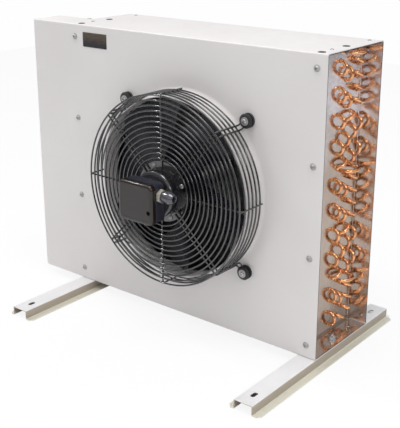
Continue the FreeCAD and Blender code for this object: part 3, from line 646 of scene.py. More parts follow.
def islands(node):
    # the separate solids of a node, each as an array of points
    shape = bmesh.new()
    shape.from_mesh(frame["nodes"][node].data)
    bmesh.ops.remove_doubles(shape, verts=shape.verts, dist=1e-6)
    found, seen = [], set()
    for first in shape.verts:
        if first in seen:
            continue
        seen.add(first)
        waiting, points = [first], []
        while waiting:
            vert = waiting.pop()
            points.append(vert.co.copy())
            for edge in vert.link_edges:
                other = edge.other_vert(vert)
                if other not in seen:
                    seen.add(other)
                    waiting.append(other)
        found.append(np.array(points))
    shape.free()
    return found


def centres(node):
    return [Vector((a.min(0) + a.max(0)) / 2) for a in islands(node)]


def middle(node):
    low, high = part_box(node)
    return [(a + b) / 2 for a, b in zip(low, high)]


coverLow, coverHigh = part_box("front_cover")
hubLow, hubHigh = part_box("fan_hub")
fanX, hubY, fanZ = middle("fan_hub")
hubRadius = (hubHigh.x - hubLow.x) / 2
front, back, base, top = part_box("nameplate_blank")[1].y, coverHigh.y, coverLow.z, coverHigh.z
left, right = coverLow.x, coverHigh.x
webLeft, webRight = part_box("tube_sheet_left")[1].x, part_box("tube_sheet_right")[0].x
railNodes = ("rail_left", "rail_right")


def atFan(y):
    return Matrix.Translation((fanX, y, fanZ))


# Cover, tube sheets and rails: folded sheet

coverSettings = {
    "sheet": 0.0012, "fold": 0.0028, "foldSteps": 4, "sideDepth": 0.075, "notch": 0.105,
    "throat": 0.1785, "mouthRadius": 0.014, "mouthOut": 0.048, "turns": 128,
    "access": 0.006, "accessRows": (0.012, 0.094),
}


def foldEdges(shape, radius, steps):
    # every edge between two faces becomes a round fold
    edges = [e for e in shape.edges if len(e.link_faces) == 2]
    bmesh.ops.bevel(
        shape, geom=edges, offset=radius, segments=steps, profile=0.5, affect="EDGES",
        clamp_overlap=False,
    )


def sheetPiece(name, shape, sheet, finish):
    # outer faces get their thickness inwards
    mesh = bpy.data.meshes.new(name)
    shape.to_mesh(mesh)
    shape.free()
    piece = newObject(name, mesh, finish)
    wall = piece.modifiers.new("wall", "SOLIDIFY")
    wall.thickness, wall.offset, wall.use_even_offset = sheet, -1.0, True
    return frozen(piece)


def ringInFace(shape, face, circle):
    # a flat four-sided face gets a round hole, as four many-sided faces
    normal = face.normal.copy()
    corners = list(face.verts)
    shape.faces.remove(face)
    hole = sum((v.co for v in circle), Vector()) / len(circle)
    nearest = [
        min(range(len(circle)), key=lambda k: (circle[k].co - hole).angle(c.co - hole))
        for c in corners
    ]
    count = len(circle)
    for k, corner in enumerate(corners):
        following = corners[(k + 1) % len(corners)]
        a, b = nearest[k], nearest[(k + 1) % len(corners)]
        ahead = (b - a) % count
        behind = (a - b) % count
        if ahead <= behind:
            arc = [circle[(a + s) % count] for s in range(ahead + 1)]
        else:
            arc = [circle[(a - s) % count] for s in range(behind + 1)]
        made = shape.faces.new([corner, following] + arc[::-1])
        made.normal_update()
        if made.normal.dot(normal) < 0:
            made.normal_flip()


def frontCover():
    s = coverSettings
    shape = bmesh.new()

    def v(x, y, z):
        return shape.verts.new((x, y, z))

    depth, notchX = front + s["sideDepth"], left + s["notch"]
    corners = {}
    for z in (base, top):
        corners[z] = [
            v(left, front, z), v(right, front, z), v(right, back, z), v(notchX, back, z),
            v(notchX, depth, z), v(left, depth, z),
        ]
        shape.faces.new(corners[z] if z == top else corners[z][::-1])
    a, b = corners[base], corners[top]
    shape.faces.new([a[0], a[1], b[1], b[0]])
    shape.faces.new([a[5], a[0], b[0], b[5]])
    foldEdges(shape, s["fold"], s["foldSteps"])
    shape.normal_update()
    panel = max(shape.faces, key=lambda f: abs(f.normal.y) * f.calc_area())
    outer = s["throat"] + s["mouthRadius"]
    angles = [math.tau * (k + 0.5) / s["turns"] for k in range(s["turns"])]

    def ringOf(r, y):
        return [v(fanX + r * math.cos(t), front + y, fanZ + r * math.sin(t)) for t in angles]

    rings = [ringOf(outer, 0.0)]
    ringInFace(shape, panel, rings[0])
    m = s["mouthRadius"] - s["sheet"]
    for k in range(1, 7):
        t = math.pi / 2 * k / 6
        rings.append(ringOf(outer - m * math.sin(t), m * math.cos(t) - m))
    rings.append(ringOf(s["throat"] + s["sheet"], -s["mouthOut"]))
    for p, q in zip(rings, rings[1:]):
        for k in range(len(p)):
            n = (k + 1) % len(p)
            shape.faces.new([p[k], p[n], q[n], q[k]])
    bmesh.ops.recalc_face_normals(shape, faces=shape.faces)
    piece = sheetPiece("frontCover", shape, s["sheet"], "white_paint")
    holes = []
    for node in railNodes:
        for y in s["accessRows"]:
            start = (middle(node)[0], front + y, top - 0.01)
            holes.append(rodAlong("hole", start, (0, 0, 1), s["access"], 0.02, 32))
    return keep(flatFaced(cutAway(piece, holes)), fixed, "white_paint", "front_cover")


traySettings = {"sheet": 0.0015, "fold": 0.0028, "foldSteps": 4, "relief": 0.003, "flange": 0.042}


def tubeSheet(name, node, webX, out):
    s = traySettings
    low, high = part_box(node)
    edge = high.x if out > 0 else low.x
    y0, y1, z0, z1 = low.y, high.y, low.z, high.z
    shape = bmesh.new()
    corners = ((y0, z0), (y1, z0), (y1, z1), (y0, z1))
    near, far = ([shape.verts.new((x, y, z)) for y, z in corners] for x in (webX, edge))
    shape.faces.new(near)
    for k in range(4):
        n = (k + 1) % 4
        shape.faces.new([near[k], near[n], far[n], far[k]])
    foldEdges(shape, s["fold"], s["foldSteps"])
    bmesh.ops.recalc_face_normals(shape, faces=shape.faces)
    piece = sheetPiece(name, shape, s["sheet"], "galvanised")
    gap = s["relief"] + s["sheet"]
    cuts = []
    for y, dy in ((y0, 1), (y1, -1)):
        for z, dz in ((z0, 1), (z1, -1)):
            a = (webX + out * s["fold"] * 1.2, y + dy * s["sheet"] * 1.05, z - dz * 0.002)
            b = (edge + out * 0.002, y + dy * gap, z + dz * (s["fold"] + 0.001))
            lowCorner = [min(p, q) for p, q in zip(a, b)]
            highCorner = [max(p, q) for p, q in zip(a, b)]
            cuts.append(block("cut", lowCorner, highCorner))
    return keep(flatFaced(cutAway(piece, cuts)), fixed, "galvanised", node)


railSettings = {
    "top": 0.040, "lip": 0.014, "sheet": 0.002, "fold": 0.0021, "foldSteps": 3,
    "slotLength": 0.017, "slotWidth": 0.009, "slotEnd": 0.033, "corner": 0.007,
}


def rail(name, node):
    s = railSettings
    low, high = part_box(node)
    x, w = middle(node)[0], s["top"] / 2
    line = [(-w - s["lip"], s["sheet"]), (-w, s["sheet"]), (-w, high.z)]
    line += [(-a, z) for a, z in line[::-1]]
    shape = bmesh.new()
    rows = [[shape.verts.new((x + a, y, z)) for a, z in line] for y in (low.y, high.y)]
    for k in range(len(line) - 1):
        shape.faces.new([rows[0][k], rows[0][k + 1], rows[1][k + 1], rows[1][k]])
    for face in shape.faces:
        face.normal_update()
    topFace = max(shape.faces, key=lambda f: f.calc_center_median().z)
    if topFace.normal.z < 0:
        bmesh.ops.reverse_faces(shape, faces=shape.faces)
    foldEdges(shape, s["fold"], s["foldSteps"])
    piece = sheetPiece(name, shape, s["sheet"], "rail")
    cuts, r, z = [], s["slotWidth"] / 2, high.z - 0.008
    run = (s["slotLength"] - s["slotWidth"]) / 2
    for y in (low.y + s["slotEnd"], high.y - s["slotEnd"]):
        outline = [
            (x + side * r * math.cos(t), y + side * run + side * r * math.sin(t), z)
            for side in (1, -1) for t in [math.pi * k / 12 for k in range(13)]
        ]
        cuts.append(prism("slot", outline, (0, 0, 1), 0.02))
    for side, edge in ((-1, low.x), (1, high.x)):
        for y, inward in ((low.y, 1), (high.y, -1)):
            c = s["corner"]
            outline = [
                (edge + side * 0.001, y - inward * 0.001, -0.005),
                (edge - side * (c + 0.001), y - inward * 0.001, -0.005),
                (edge + side * 0.001, y + inward * (c + 0.001), -0.005),
            ]
            cuts.append(prism("corner", outline, (0, 0, 1), 0.012))
    return keep(flatFaced(cutAway(piece, cuts)), fixed, "galvanised", node)


frontCover()
tubeSheet("tubeSheetRight", "tube_sheet_right", webRight, 1)
tubeSheet("tubeSheetLeft", "tube_sheet_left", webLeft, -1)
rail("railLeft", "rail_left")
rail("railRight", "rail_right")
print("folded sheet done")


# Coil: fins, tubes through them, return bends and pipe work

coilSettings = {
    "pitch": 0.0019, "plate": 0.00018, "waves": 8, "waveDepth": 0.00035, "wavePoints": 24,
    "tube": 0.0035, "sides": 14, "leg": 0.001, "arcSteps": 20, "collar": 0.0046,
    "gasTurn": 0.042, "liquidTurn": 0.030, "feederBend": 0.009,
}
pipeSettings = {
    "dome": 0.002, "shoulder": 0.75, "wall": 0.001, "saddle": 0.003, "flare": 0.0035,
    "flareHigh": 0.005,
}
bendNodes = [f"right_bends_row_{k}" for k in range(1, 5)]
bendNodes += ["right_crossing_bends", "right_wide_bends", "left_bends_front", "left_bends_rear"]


def finStack():
    s = coilSettings
    low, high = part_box("fin_block")
    count = int((high.x - low.x) / s["pitch"])
    start = low.x + (high.x - low.x - (count - 1) * s["pitch"]) / 2
    near, far = [], []
    for k in range(s["wavePoints"] + 1):
        u = k / s["wavePoints"]
        ripple = s["waveDepth"] * math.sin(math.pi * s["waves"] * u)
        y = low.y + (high.y - low.y) * u
        near.append((ripple - s["plate"] / 2, y))
        far.append((ripple + s["plate"] / 2, y))
    outline = near + far[::-1]
    verts = [(x, y, z) for z in (low.z, high.z) for x, y in outline]
    n = len(outline)
    faces = [(k, (k + 1) % n, (k + 1) % n + n, k + n) for k in range(n)]
    for k in range(s["wavePoints"]):
        quad = (k, k + 1, n - 2 - k, n - 1 - k)
        faces += [quad, tuple(q + n for q in quad[::-1])]
    fin = built("fins", verts, faces, "fins", 80.0)
    fins = plateStack.run(fin, "fins", 80.0, Count=count, Start=(start, 0, 0), Pitch=s["pitch"])
    return keep(fins, fixed, "fins", "fin_block")


def bendEnds(points, webX):
    # the two tube centres that a bend joins, where it stands on its sheet
    foot = points[np.abs(points[:, 0] - webX) < 2e-4]
    middle = foot.mean(0)
    away = foot[np.argmax(((foot - middle) ** 2).sum(1))] - middle
    side = (foot - middle) @ away > 0
    return Vector(foot[side].mean(0)), Vector(foot[~side].mean(0))


def bendPath(a, b, out):
    s = coilSettings
    middle, half = (a + b) / 2, (a - b) / 2
    across = Vector((out, 0, 0))
    path = [a]
    for k in range(s["arcSteps"] + 1):
        t = math.pi * k / s["arcSteps"]
        reach = s["leg"] + half.length * math.sin(t)
        path.append(middle + half * math.cos(t) + across * reach)
    return path + [b]


def returnBends():
    s = coilSettings
    feet = {1: [], -1: []}
    for node in bendNodes:
        out = 1 if node.startswith("right") else -1
        low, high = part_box(node)
        webX = low.x if out > 0 else high.x
        ends = [bendEnds(points, webX) for points in islands(node)]
        paths = [bendPath(a, b, out) for a, b in ends]
        feet[out] += [p for pair in ends for p in pair]
        name = "".join(word.capitalize() for word in node.split("_"))
        piece = wires(name[0].lower() + name[1:], paths, s["tube"], s["sides"], "copper")
        keep(piece, fixed, "copper", node)
    return feet


def feeders(node, headerNode, turn):
    # open tube ends run to their header; each starts where the solid meets its sheet
    s = coilSettings
    x, y = middle(headerNode)[:2]
    paths, feet = [], []
    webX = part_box(node)[1].x
    for points in islands(node):
        foot = Vector(points[np.abs(points[:, 0] - webX) < 2e-4].mean(0))
        path = [foot, Vector((x + 0.004, y, foot.z))]
        if abs(foot.y - y) > 0.002:
            path[1:1] = [Vector((webX - turn, foot.y, foot.z)), Vector((webX - turn, y, foot.z))]
        paths.append(softened(path, s["feederBend"], 7))
        feet.append(foot)
    name = "gasFeeders" if "gas" in node else "liquidFeeders"
    keep(wires(name, paths, s["tube"], s["sides"], "copper"), fixed, "copper", node)
    return feet


def tubeCollars(name, feet, out):
    # the tube ends stand out of their sheet a little, belled and brazed round the bends
    s = coilSettings
    r, c = s["tube"], s["collar"]
    profile = [(r - 0.0002, 0.0001), (c, 0.0001), (c - 0.0002, 0.0008), (r + 0.0005, 0.0013)]
    profile += [(r + 0.0001, 0.0018), (r - 0.0002, 0.0018)]
    collar = turnedMesh(name + "Copy", profile, "brazing", 20, loop=True, angle=50.0)
    turn = (0, 0, -math.pi / 2 * out)
    piece = seated(name, collar, feet, "brazing", turn, 50.0)
    return keep(piece, fixed, "copper")


def coilTubes(feet):
    # the straight tubes that the fins sit on, seen between the fins
    low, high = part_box("fin_block")
    s = coilSettings
    paths = [[Vector((low.x, p.y, p.z)), Vector((high.x, p.y, p.z))] for p in feet]
    return keep(wires("coilTubes", paths, s["tube"], 10, "copper"), fixed, "copper")


def headerPipe(name, node):
    low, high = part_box(node)
    r, length, dome = (high.x - low.x) / 2, high.z - low.z, pipeSettings["dome"]
    shoulder = r * pipeSettings["shoulder"]
    profile = [(0, -dome), (shoulder, -dome * 0.8), (r, 0), (r, length)]
    profile += [(shoulder, length + dome * 0.8), (0, length + dome)]
    pipe = turnedMesh(name, profile, "copper", 40, soft=dome)
    x, y = middle(node)[:2]
    turn = Matrix.Rotation(math.pi / 2, 4, "X")
    return placed(pipe, Matrix.Translation((x, y, low.z)) @ turn)


def pipeStub(name, node, headerNode):
    s = pipeSettings
    low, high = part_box(node)
    r, y0, y1 = (high.x - low.x) / 2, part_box(headerNode)[1].y - s["saddle"], high.y
    bore, flareEnd = r - s["wall"], y0 + s["flareHigh"]
    profile = [(bore, y0), (r + s["flare"], y0), (r + 0.0012, flareEnd), (r, flareEnd + 0.0015)]
    profile += [(r, y1 - 0.0006), (r - 0.0003, y1), (bore + 0.0003, y1), (bore, y1 - 0.0005)]
    stub = turnedMesh(name, profile, "copper", 40, loop=True)
    x, z = middle(node)[::2]
    place = Matrix.Translation((x, 0, z))
    return keep(placed(stub, place), fixed, "copper", node)


finStack()
feet = returnBends()
feet[-1] += feeders("gas_feeders", "gas_header", coilSettings["gasTurn"])
feet[-1] += feeders("liquid_feeders", "liquid_header", coilSettings["liquidTurn"])
tubeCollars("tubeCollarsRight", feet[1], 1)
tubeCollars("tubeCollarsLeft", feet[-1], -1)
coilTubes(feet[1])
keep(headerPipe("gasHeader", "gas_header"), fixed, "copper", "gas_header", "header_caps")
keep(headerPipe("liquidHeader", "liquid_header"), fixed, "copper", "liquid_header")
pipeStub("gasStub", "gas_stub", "gas_header")
pipeStub("liquidStub", "liquid_stub", "liquid_header")
print("coil done,", len(feet[1]), "tube ends at the right")


# Guard: round wires, welded where they cross

guardSettings = {
    "wire": 0.00175, "sides": 10, "turns": 144, "frontRings": 13, "ringPitch": 0.0101,
    "sideRings": 5, "sidePitch": 0.0116, "startRadius": 0.050, "bend": 0.005, "legGap": 0.010,
    "eye": 0.01005, "legCircle": 0.212, "damperHeight": 0.013,
}


def guardRingSets():
    s = guardSettings
    w = s["wire"]
    common = {"Wire_Radius": w, "Sides": s["sides"], "Turns": s["turns"]}
    ringsLow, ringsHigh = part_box("guard_front_rings")
    outer = (ringsHigh.x - ringsLow.x) / 2 - w
    piece = guardRings.run(
        newObject("guardFrontRings", bpy.data.meshes.new("rings")), "black_wire", 50.0,
        Count=s["frontRings"], Centre=(fanX, ringsLow.y + w, fanZ), First_Radius=outer,
        Radius_Step=s["ringPitch"], Depth_Step=0.0, **common,
    )
    keep(piece, fixed, "black_wire", "guard_front_rings")
    low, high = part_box("guard_side_rings")
    piece = guardRings.run(
        newObject("guardSideRings", bpy.data.meshes.new("rings")), "black_wire", 50.0,
        Count=s["sideRings"], Centre=(fanX, high.y - w, fanZ),
        First_Radius=(high.x - low.x) / 2 - w, Radius_Step=0.0, Depth_Step=-s["sidePitch"],
        **common,
    )
    keep(piece, fixed, "black_wire", "guard_side_rings")


def wheel(copy, count, first, finish, angle=50.0):
    return aboutTheAxis.run(
        copy, finish, angle, Count=count, Centre=(fanX, 0.0, fanZ),
        First_Turn=-math.radians(first), Turn=-math.tau / count,
    )


def guardWires():
    s = guardSettings
    w = s["wire"]
    low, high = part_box("guard_spokes")
    reach, y = (high.x - low.x) / 2 - w, low.y + w
    end = high.y
    path = softened([(s["startRadius"], y, 0), (reach, y, 0), (reach, end, 0)], s["bend"], 6)
    spoke = wires("guardSpokes", [path], w, s["sides"], "black_wire")
    keep(wheel(spoke, 4, 0, "black_wire"), fixed, "black_wire", "guard_spokes")
    eyeY, half = front - s["damperHeight"] / 2, s["legGap"] / 2
    opening = math.asin(half / s["eye"])
    eye = [
        (s["legCircle"] - s["eye"] * math.cos(t), eyeY, s["eye"] * math.sin(t))
        for t in [opening + (math.tau - 2 * opening) * k / 22 for k in range(23)]
    ]
    run = [(s["startRadius"], y, half), (reach, y, half), (reach, eyeY, half), eye[0]]
    run = softened(run, s["bend"], 6)
    mirrored = [Vector((p.x, p.y, -p.z)) for p in run][::-1]
    path = [Vector(p) for p in run] + [Vector(p) for p in eye[1:-1]] + mirrored
    leg = wires("guardLegs", [path], w, s["sides"], "black_wire")
    keep(wheel(leg, 4, 45, "black_wire"), fixed, "black_wire", "guard_legs")


guardRingSets()
guardWires()
print("guard done")


# Fasteners and rubber bushes

fastenerSettings = {
    "front": {"head": 0.0045, "high": 0.0032, "shank": 0.0024, "washer": 0.0065, "washerHigh": 0.001},
    "top": {"head": 0.0035, "high": 0.002, "shank": 0.00175},
    "damper": {"head": 0.0045, "high": 0.0032, "shank": 0.0025},
}


def panScrew(s, length, finish):
    # a pan head with a cross recess, on its washer, the shank along Y
    w = s.get("washerHigh", 0.0)
    h = s["high"] + w
    profile = [(0, -h), (s["head"] * 0.62, -h + 0.0002), (s["head"], -w - s["high"] * 0.45)]
    profile += [(s["head"], -w)]
    if w:
        profile += [(s["washer"] * 0.9, -w), (s["washer"], -w * 0.3), (s["washer"], 0)]
    profile += [(s["shank"], 0), (s["shank"], length), (0, length)]
    screw = turnedMesh("screw", profile, finish, 32, soft=0.0006)
    arm, wide, deep = s["head"] * 0.55, s["head"] * 0.13, s["high"] * 0.55
    cuts = [
        block("arm", (-arm, -h - 0.001, -wide), (arm, -h + deep, wide)),
        block("arm", (-wide, -h - 0.001, -arm), (wide, -h + deep, arm)),
    ]
    return cutAway(screw, cuts)


def screwSet(name, node, key, length, seatAt, turn=(0, 0, 0), finish="zinc"):
    places = [seatAt(p) for p in centres(node)]
    screw = panScrew(fastenerSettings[key], length, finish)
    return keep(seated(name, screw, places, finish, turn), fixed, "zinc", node)


def hexPiece(name, flats, height, bore, finish, chamfer=0.12):
    # a hexagon along Y with turned ends: the profile is cut back at its corners
    steps, r = 48, flats / 2 / math.cos(math.pi / 6)
    face = flats / 2 * (1 - 0.02)
    levels = [(0, face), (height * chamfer, r), (height * (1 - chamfer), r), (height, face)]
    verts, rings = [], []
    for y, limit in [(0, bore)] + levels + [(height, bore)]:
        ring = []
        for k in range(steps):
            a = math.tau * k / steps
            near = (a + math.pi / 6) % (math.pi / 3) - math.pi / 6
            wide = min(limit, flats / 2 / math.cos(near))
            ring.append(len(verts))
            verts.append((wide * math.cos(a), y, wide * math.sin(a)))
        rings.append(ring)
    return built(name, verts, lofted(rings, True), finish, 30.0)


damperSettings = {
    "radius": 0.014, "neck": 0.008, "bore": 0.0028, "groove": 0.002, "crown": 0.0022,
    "soft": 0.0009, "washer": 0.008, "washerHigh": 0.001, "screw": 0.0202, "nut": 0.008,
    "nutHigh": 0.004, "nutBore": 0.00255,
}


def damperBushes():
    # rubber bushes whose groove holds the guard's eyes
    s = damperSettings
    r, neck, bore, groove = s["radius"], s["neck"], s["bore"], s["groove"]
    h = guardSettings["damperHeight"]
    profile = [(bore, 0), (bore, -h + 0.0004), (r * 0.72, -h), (r, -h + s["crown"])]
    profile += [(r, -h / 2 - groove), (neck, -h / 2 - groove), (neck, groove - h / 2)]
    profile += [(r, groove - h / 2), (r, 0)]
    bush = turnedMesh("bush", profile, "rubber", 48, loop=True, soft=s["soft"])
    places = [(p.x, front, p.z) for p in centres("dampers")]
    keep(seated("damperBushes", bush, places, "rubber"), fixed, "rubber", "dampers")
    low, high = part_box("damper_washers")
    profile = [(bore, 0), (bore, -s["washerHigh"]), (s["washer"], -s["washerHigh"]), (s["washer"], 0)]
    washer = turnedMesh("washer", profile, "dull_zinc", 40, loop=True, soft=0.0003, bends=2)
    places = [(p.x, high.y, p.z) for p in centres("damper_washers")]
    keep(seated("damperWashers", washer, places, "dull_zinc"), fixed, "zinc", "damper_washers")
    screwSet("damperScrews", "damper_screws", "damper", s["screw"], lambda p: (p.x, low.y, p.z))
    nut = hexPiece("nut", s["nut"], s["nutHigh"], s["nutBore"], "zinc")
    places = [(p.x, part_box("damper_nuts")[0].y, p.z) for p in centres("damper_nuts")]
    keep(seated("damperNuts", nut, places, "zinc"), fixed, "zinc", "damper_nuts")


boltSettings = {
    "radius": 0.004, "pitch": 0.00125, "root": 0.87, "tip": 0.85, "flats": 0.013,
    "headHigh": 0.0053, "headBore": 0.0001, "nutBore": 0.00405,
}


def railFasteners():
    # hexagon bolts from below, their threaded ends and nuts in the sheets above
    s = boltSettings
    low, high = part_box("rail_bolts")
    seat, r, pitch = low.z + s["headHigh"], s["radius"], s["pitch"]
    nutLow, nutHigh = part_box("rail_nuts")
    head = hexPiece("boltHead", s["flats"], s["headHigh"], s["headBore"], "zinc")
    placed(head, Matrix.Translation((0, -s["headHigh"], 0)))
    length = high.z - seat
    y = nutHigh.z - seat - 0.001
    profile = [(0, 0), (r, 0), (r, y)]
    while y < length - pitch:
        profile += [(r * s["root"], y + pitch / 2), (r, y + pitch)]
        y += pitch
    profile += [(r * s["tip"], length), (0, length)]
    shank = turnedMesh("boltShank", profile, "zinc", 24, angle=25.0)
    bolt = joined("bolt", [head, shank])
    places = [(p.x, p.y, seat) for p in centres("rail_bolts")]
    turn = (math.pi / 2, 0, 0)
    keep(seated("railBolts", bolt, places, "zinc", turn), fixed, "zinc", "rail_bolts")
    nut = hexPiece("nut", s["flats"], nutHigh.z - nutLow.z, s["nutBore"], "zinc")
    places = [(p.x, p.y, nutLow.z) for p in centres("rail_nuts")]
    keep(seated("railNuts", nut, places, "zinc", turn), fixed, "zinc", "rail_nuts")


rivetSettings = {
    "head": [(0, -0.0012), (0.0016, -0.001), (0.0026, -0.0002), (0.0026, 0.0004), (0, 0.0004)],
    "hanging": [
        (0.0034, -0.0007), (0.0072, -0.0007), (0.0072, 0), (0.0052, 0), (0.0052, 0.011),
        (0.0034, 0.011),
    ],
}


def sheetRivets():
    # small rivets on the flanges of the right end sheet
    low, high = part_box("tube_sheet_right")
    sheet = traySettings["sheet"]
    for name, place, turn in (
        ("rearRivet", (high.x - 0.011, high.y - sheet, low.z + 0.016), 0.0),
        ("footRivet", (high.x - 0.020, high.y - 0.036, low.z + sheet), -math.pi / 2),
    ):
        head = turnedMesh("head", rivetSettings["head"], "zinc", 24, soft=0.0004, bends=2)
        keep(seated(name, head, [place], "zinc", (turn, 0, 0)), fixed, "zinc")


def hangingNuts():
    # rivet nuts in the access holes of the top, in line with the rails, black as painted shade for
    # the dark holes
    profile = rivetSettings["hanging"]
    nut = turnedMesh("nut", profile, "motor_black", 32, loop=True, soft=0.0003, bends=2)
    places = []
    for node in railNodes:
        places += [(middle(node)[0], front + y, top) for y in coverSettings["accessRows"]]
    turn = (-math.pi / 2, 0, 0)
    keep(seated("hangingNuts", nut, places, "motor_black", turn), fixed, "zinc")


dull = {"finish": "dull_zinc"}
screwSet("frontScrews", "front_screws", "front", 0.012, lambda p: (p.x, front, p.z), **dull)
screwSet("topScrews", "top_screws", "top", 0.006, lambda p: (p.x, p.y, top), (-math.pi / 2, 0, 0))
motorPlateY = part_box("motor_plate")[0].y
screwSet("motorScrews", "motor_screws", "damper", 0.007, lambda p: (p.x, motorPlateY, p.z), **dull)
damperBushes()
railFasteners()
sheetRivets()
hangingNuts()
print("fasteners done")


# Motor, rotor and blades

motorSettings = {
    "boss": 0.046, "bossRound": 0.007, "flange": 0.058, "flangeThick": 0.006, "bore": 0.015,
    "holder": 0.019, "rotor": 0.052, "rotorRound": 0.008, "wall": 0.002,
}
bladeSettings = {
    "count": 5, "tip": 0.175, "rootChord": 0.078, "tipChord": 0.150, "rootPitch": 38.0,
    "tipPitch": 17.0, "sweep": 30.0, "rake": 0.012, "camber": 0.08, "thick": 0.002,
    "alongSteps": 22, "acrossSteps": 20,
}


def motorFlange():
    s = motorSettings
    low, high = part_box("motor_flange")
    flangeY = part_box("motor_plate")[1].y
    b, f, t = s["boss"], s["flange"], s["flangeThick"]
    profile = [(0, low.y), (b, low.y), (b + 0.0015, flangeY - 0.003), (b + 0.004, flangeY)]
    profile += [(f, flangeY), (f, flangeY + t), (s["holder"], flangeY + t), (s["holder"], high.y)]
    profile += [(s["bore"], high.y), (s["bore"], flangeY + 0.001), (0, flangeY + 0.001)]
    radii = [0, s["bossRound"], 0.003, 0.002, 0.0015, 0.001, 0.001, 0.001, 0.0005, 0.0005, 0]
    piece = turnedMesh("motorFlange", profile, "motor_cast", 72, soft=radii, bends=5)
    return keep(placed(piece, atFan(0)), fixed, "motor_cast", "motor_flange")


def rotorShell():
    s = motorSettings
    low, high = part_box("rotor_can")
    r, w = s["rotor"], s["wall"]
    profile = [(r - w, low.y), (r, low.y), (r, high.y), (0, high.y), (0, high.y - w)]
    profile.append((r - w, high.y - w))
    radii = [0.0005, 0.0005, s["rotorRound"], 0, 0, 0.005]
    piece = turnedMesh("rotorCan", profile, "motor_black", 72, loop=True, soft=radii, bends=5)
    keep(placed(piece, atFan(0)), turning, "motor_black", "rotor_can")
    low, high, inner = hubLow.y, hubHigh.y, r + 0.00002
    profile = [(inner, low), (hubRadius, low), (hubRadius, high), (inner, high)]
    hub = turnedMesh("fanHub", profile, "blade_paint", 72, loop=True, soft=0.0008)
    keep(placed(hub, atFan(0)), turning, "blade_paint", "fan_hub")


def bladePoint(r, u, side):
    # a point of the blade at radius r and u along its chord, on one of its faces
    s, hub = bladeSettings, hubRadius
    t = max(0.0, (r - hub) / (s["tip"] - hub))
    chord = s["rootChord"] + (s["tipChord"] - s["rootChord"]) * t
    pitch = math.radians(s["rootPitch"] + (s["tipPitch"] - s["rootPitch"]) * t)
    shape = max(0.0, 1 - (2 * u - 1) ** 4) ** 0.5
    a = (u - 0.5) * chord
    b = side * s["thick"] / 2 * shape + s["camber"] * chord * (1 - (2 * u - 1) ** 2)
    forth = a * math.cos(pitch) - b * math.sin(pitch)
    y = hubY + s["rake"] * t + a * math.sin(pitch) + b * math.cos(pitch)
    # the chord follows the circle, so that the tip keeps its radius
    turn = -math.radians(s["sweep"]) * t - math.atan2(forth, r)
    reach = math.hypot(r, forth) if r < hub else r
    return Vector((reach * math.cos(turn), y, reach * math.sin(turn)))


def fanBlades():
    s, hub = bladeSettings, hubRadius
    n, m = s["acrossSteps"], s["alongSteps"]
    verts, rings = [], []
    for i in range(m + 1):
        r = hub - 0.0005 + (s["tip"] - hub + 0.0003) * i / m
        ring = []
        for k in range(2 * n):
            side = 1 if k <= n else -1
            u = 0.5 - 0.5 * math.cos(math.pi * (k if k <= n else 2 * n - k) / n)
            ring.append(len(verts))
            verts.append(bladePoint(r, u, side))
        rings.append(ring)
    faces = lofted(rings)
    for ring in (rings[0], rings[-1]):
        for k in range(n):
            opposite = 2 * n - k
            quad = [ring[k], ring[k + 1], ring[opposite - 1], ring[opposite % (2 * n)]]
            faces.append(list(dict.fromkeys(quad)))
    blade = built("fanBlades", verts, faces, "blade_paint", 60.0)
    blades = wheel(blade, s["count"], 0, "blade_paint", 60.0)
    return keep(blades, turning, "blade_paint", "fan_blades")


motorFlange()
rotorShell()
fanBlades()
print("motor and blades done")


# Terminal box and gland

boxSettings = {
    "size": (0.085, 0.080), "corner": 0.011, "lidRound": 0.0055, "lip": 0.0007,
    "wellRadius": 0.0045, "wellDepth": 0.0085, "soft": 0.0008, "screw": 0.008,
}
glandSettings = {
    "hex": 0.024, "bore": 0.005, "collar": 0.86, "soft": 0.0008,
    "ribs": 16, "ribDepth": 0.0007, "ribStart": 0.004, "ribEnd": 0.58,
}


def terminalBox():
    s = boxSettings
    low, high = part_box("terminal_box_base")
    centre, corner = middle("terminal_box_base")[::2], s["corner"]
    lip, soft = s["lip"], s["soft"]
    profile = [(high.y, lip + soft), (high.y - soft, lip), (low.y + 0.006, lip)]
    profile += [(low.y + 0.0055, 0.0002), (low.y + soft, 0), (low.y + 0.0003, 0.0002)]
    profile.append((low.y, soft))
    piece = slab("terminalBoxBase", centre, s["size"], corner, profile, "box_black")
    keep(piece, fixed, "box_plastic", "terminal_box_base")
    low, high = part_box("terminal_box_lid")
    r = s["lidRound"]
    rim = [(high.y, soft), (high.y - soft * 0.4, soft * 0.2), (high.y - soft, 0)]
    face = [(low.y + r * (1 - math.sin(t)), r * (1 - math.cos(t))) for t in
            [math.pi / 2 * k / 6 for k in range(7)]]
    inner = [(low.y, r + 0.003), (low.y + 0.0005, r + 0.0036), (low.y + 0.0005, r + 0.010)]
    piece = slab("terminalBoxLid", centre, s["size"], corner, rim + face + inner, "box_plastic")
    screw = centres("lid_screw")[0]
    start = (screw.x, low.y - 0.002, screw.z)
    well = rodAlong("well", start, (0, 1, 0), s["wellRadius"], s["wellDepth"] + 0.002)
    keep(cutAway(piece, [well]), fixed, "box_plastic", "terminal_box_lid")
    seat = low.y + s["wellDepth"] + 0.0011
    screwSet("lidScrew", "lid_screw", "top", s["screw"], lambda p: (p.x, seat, p.z))


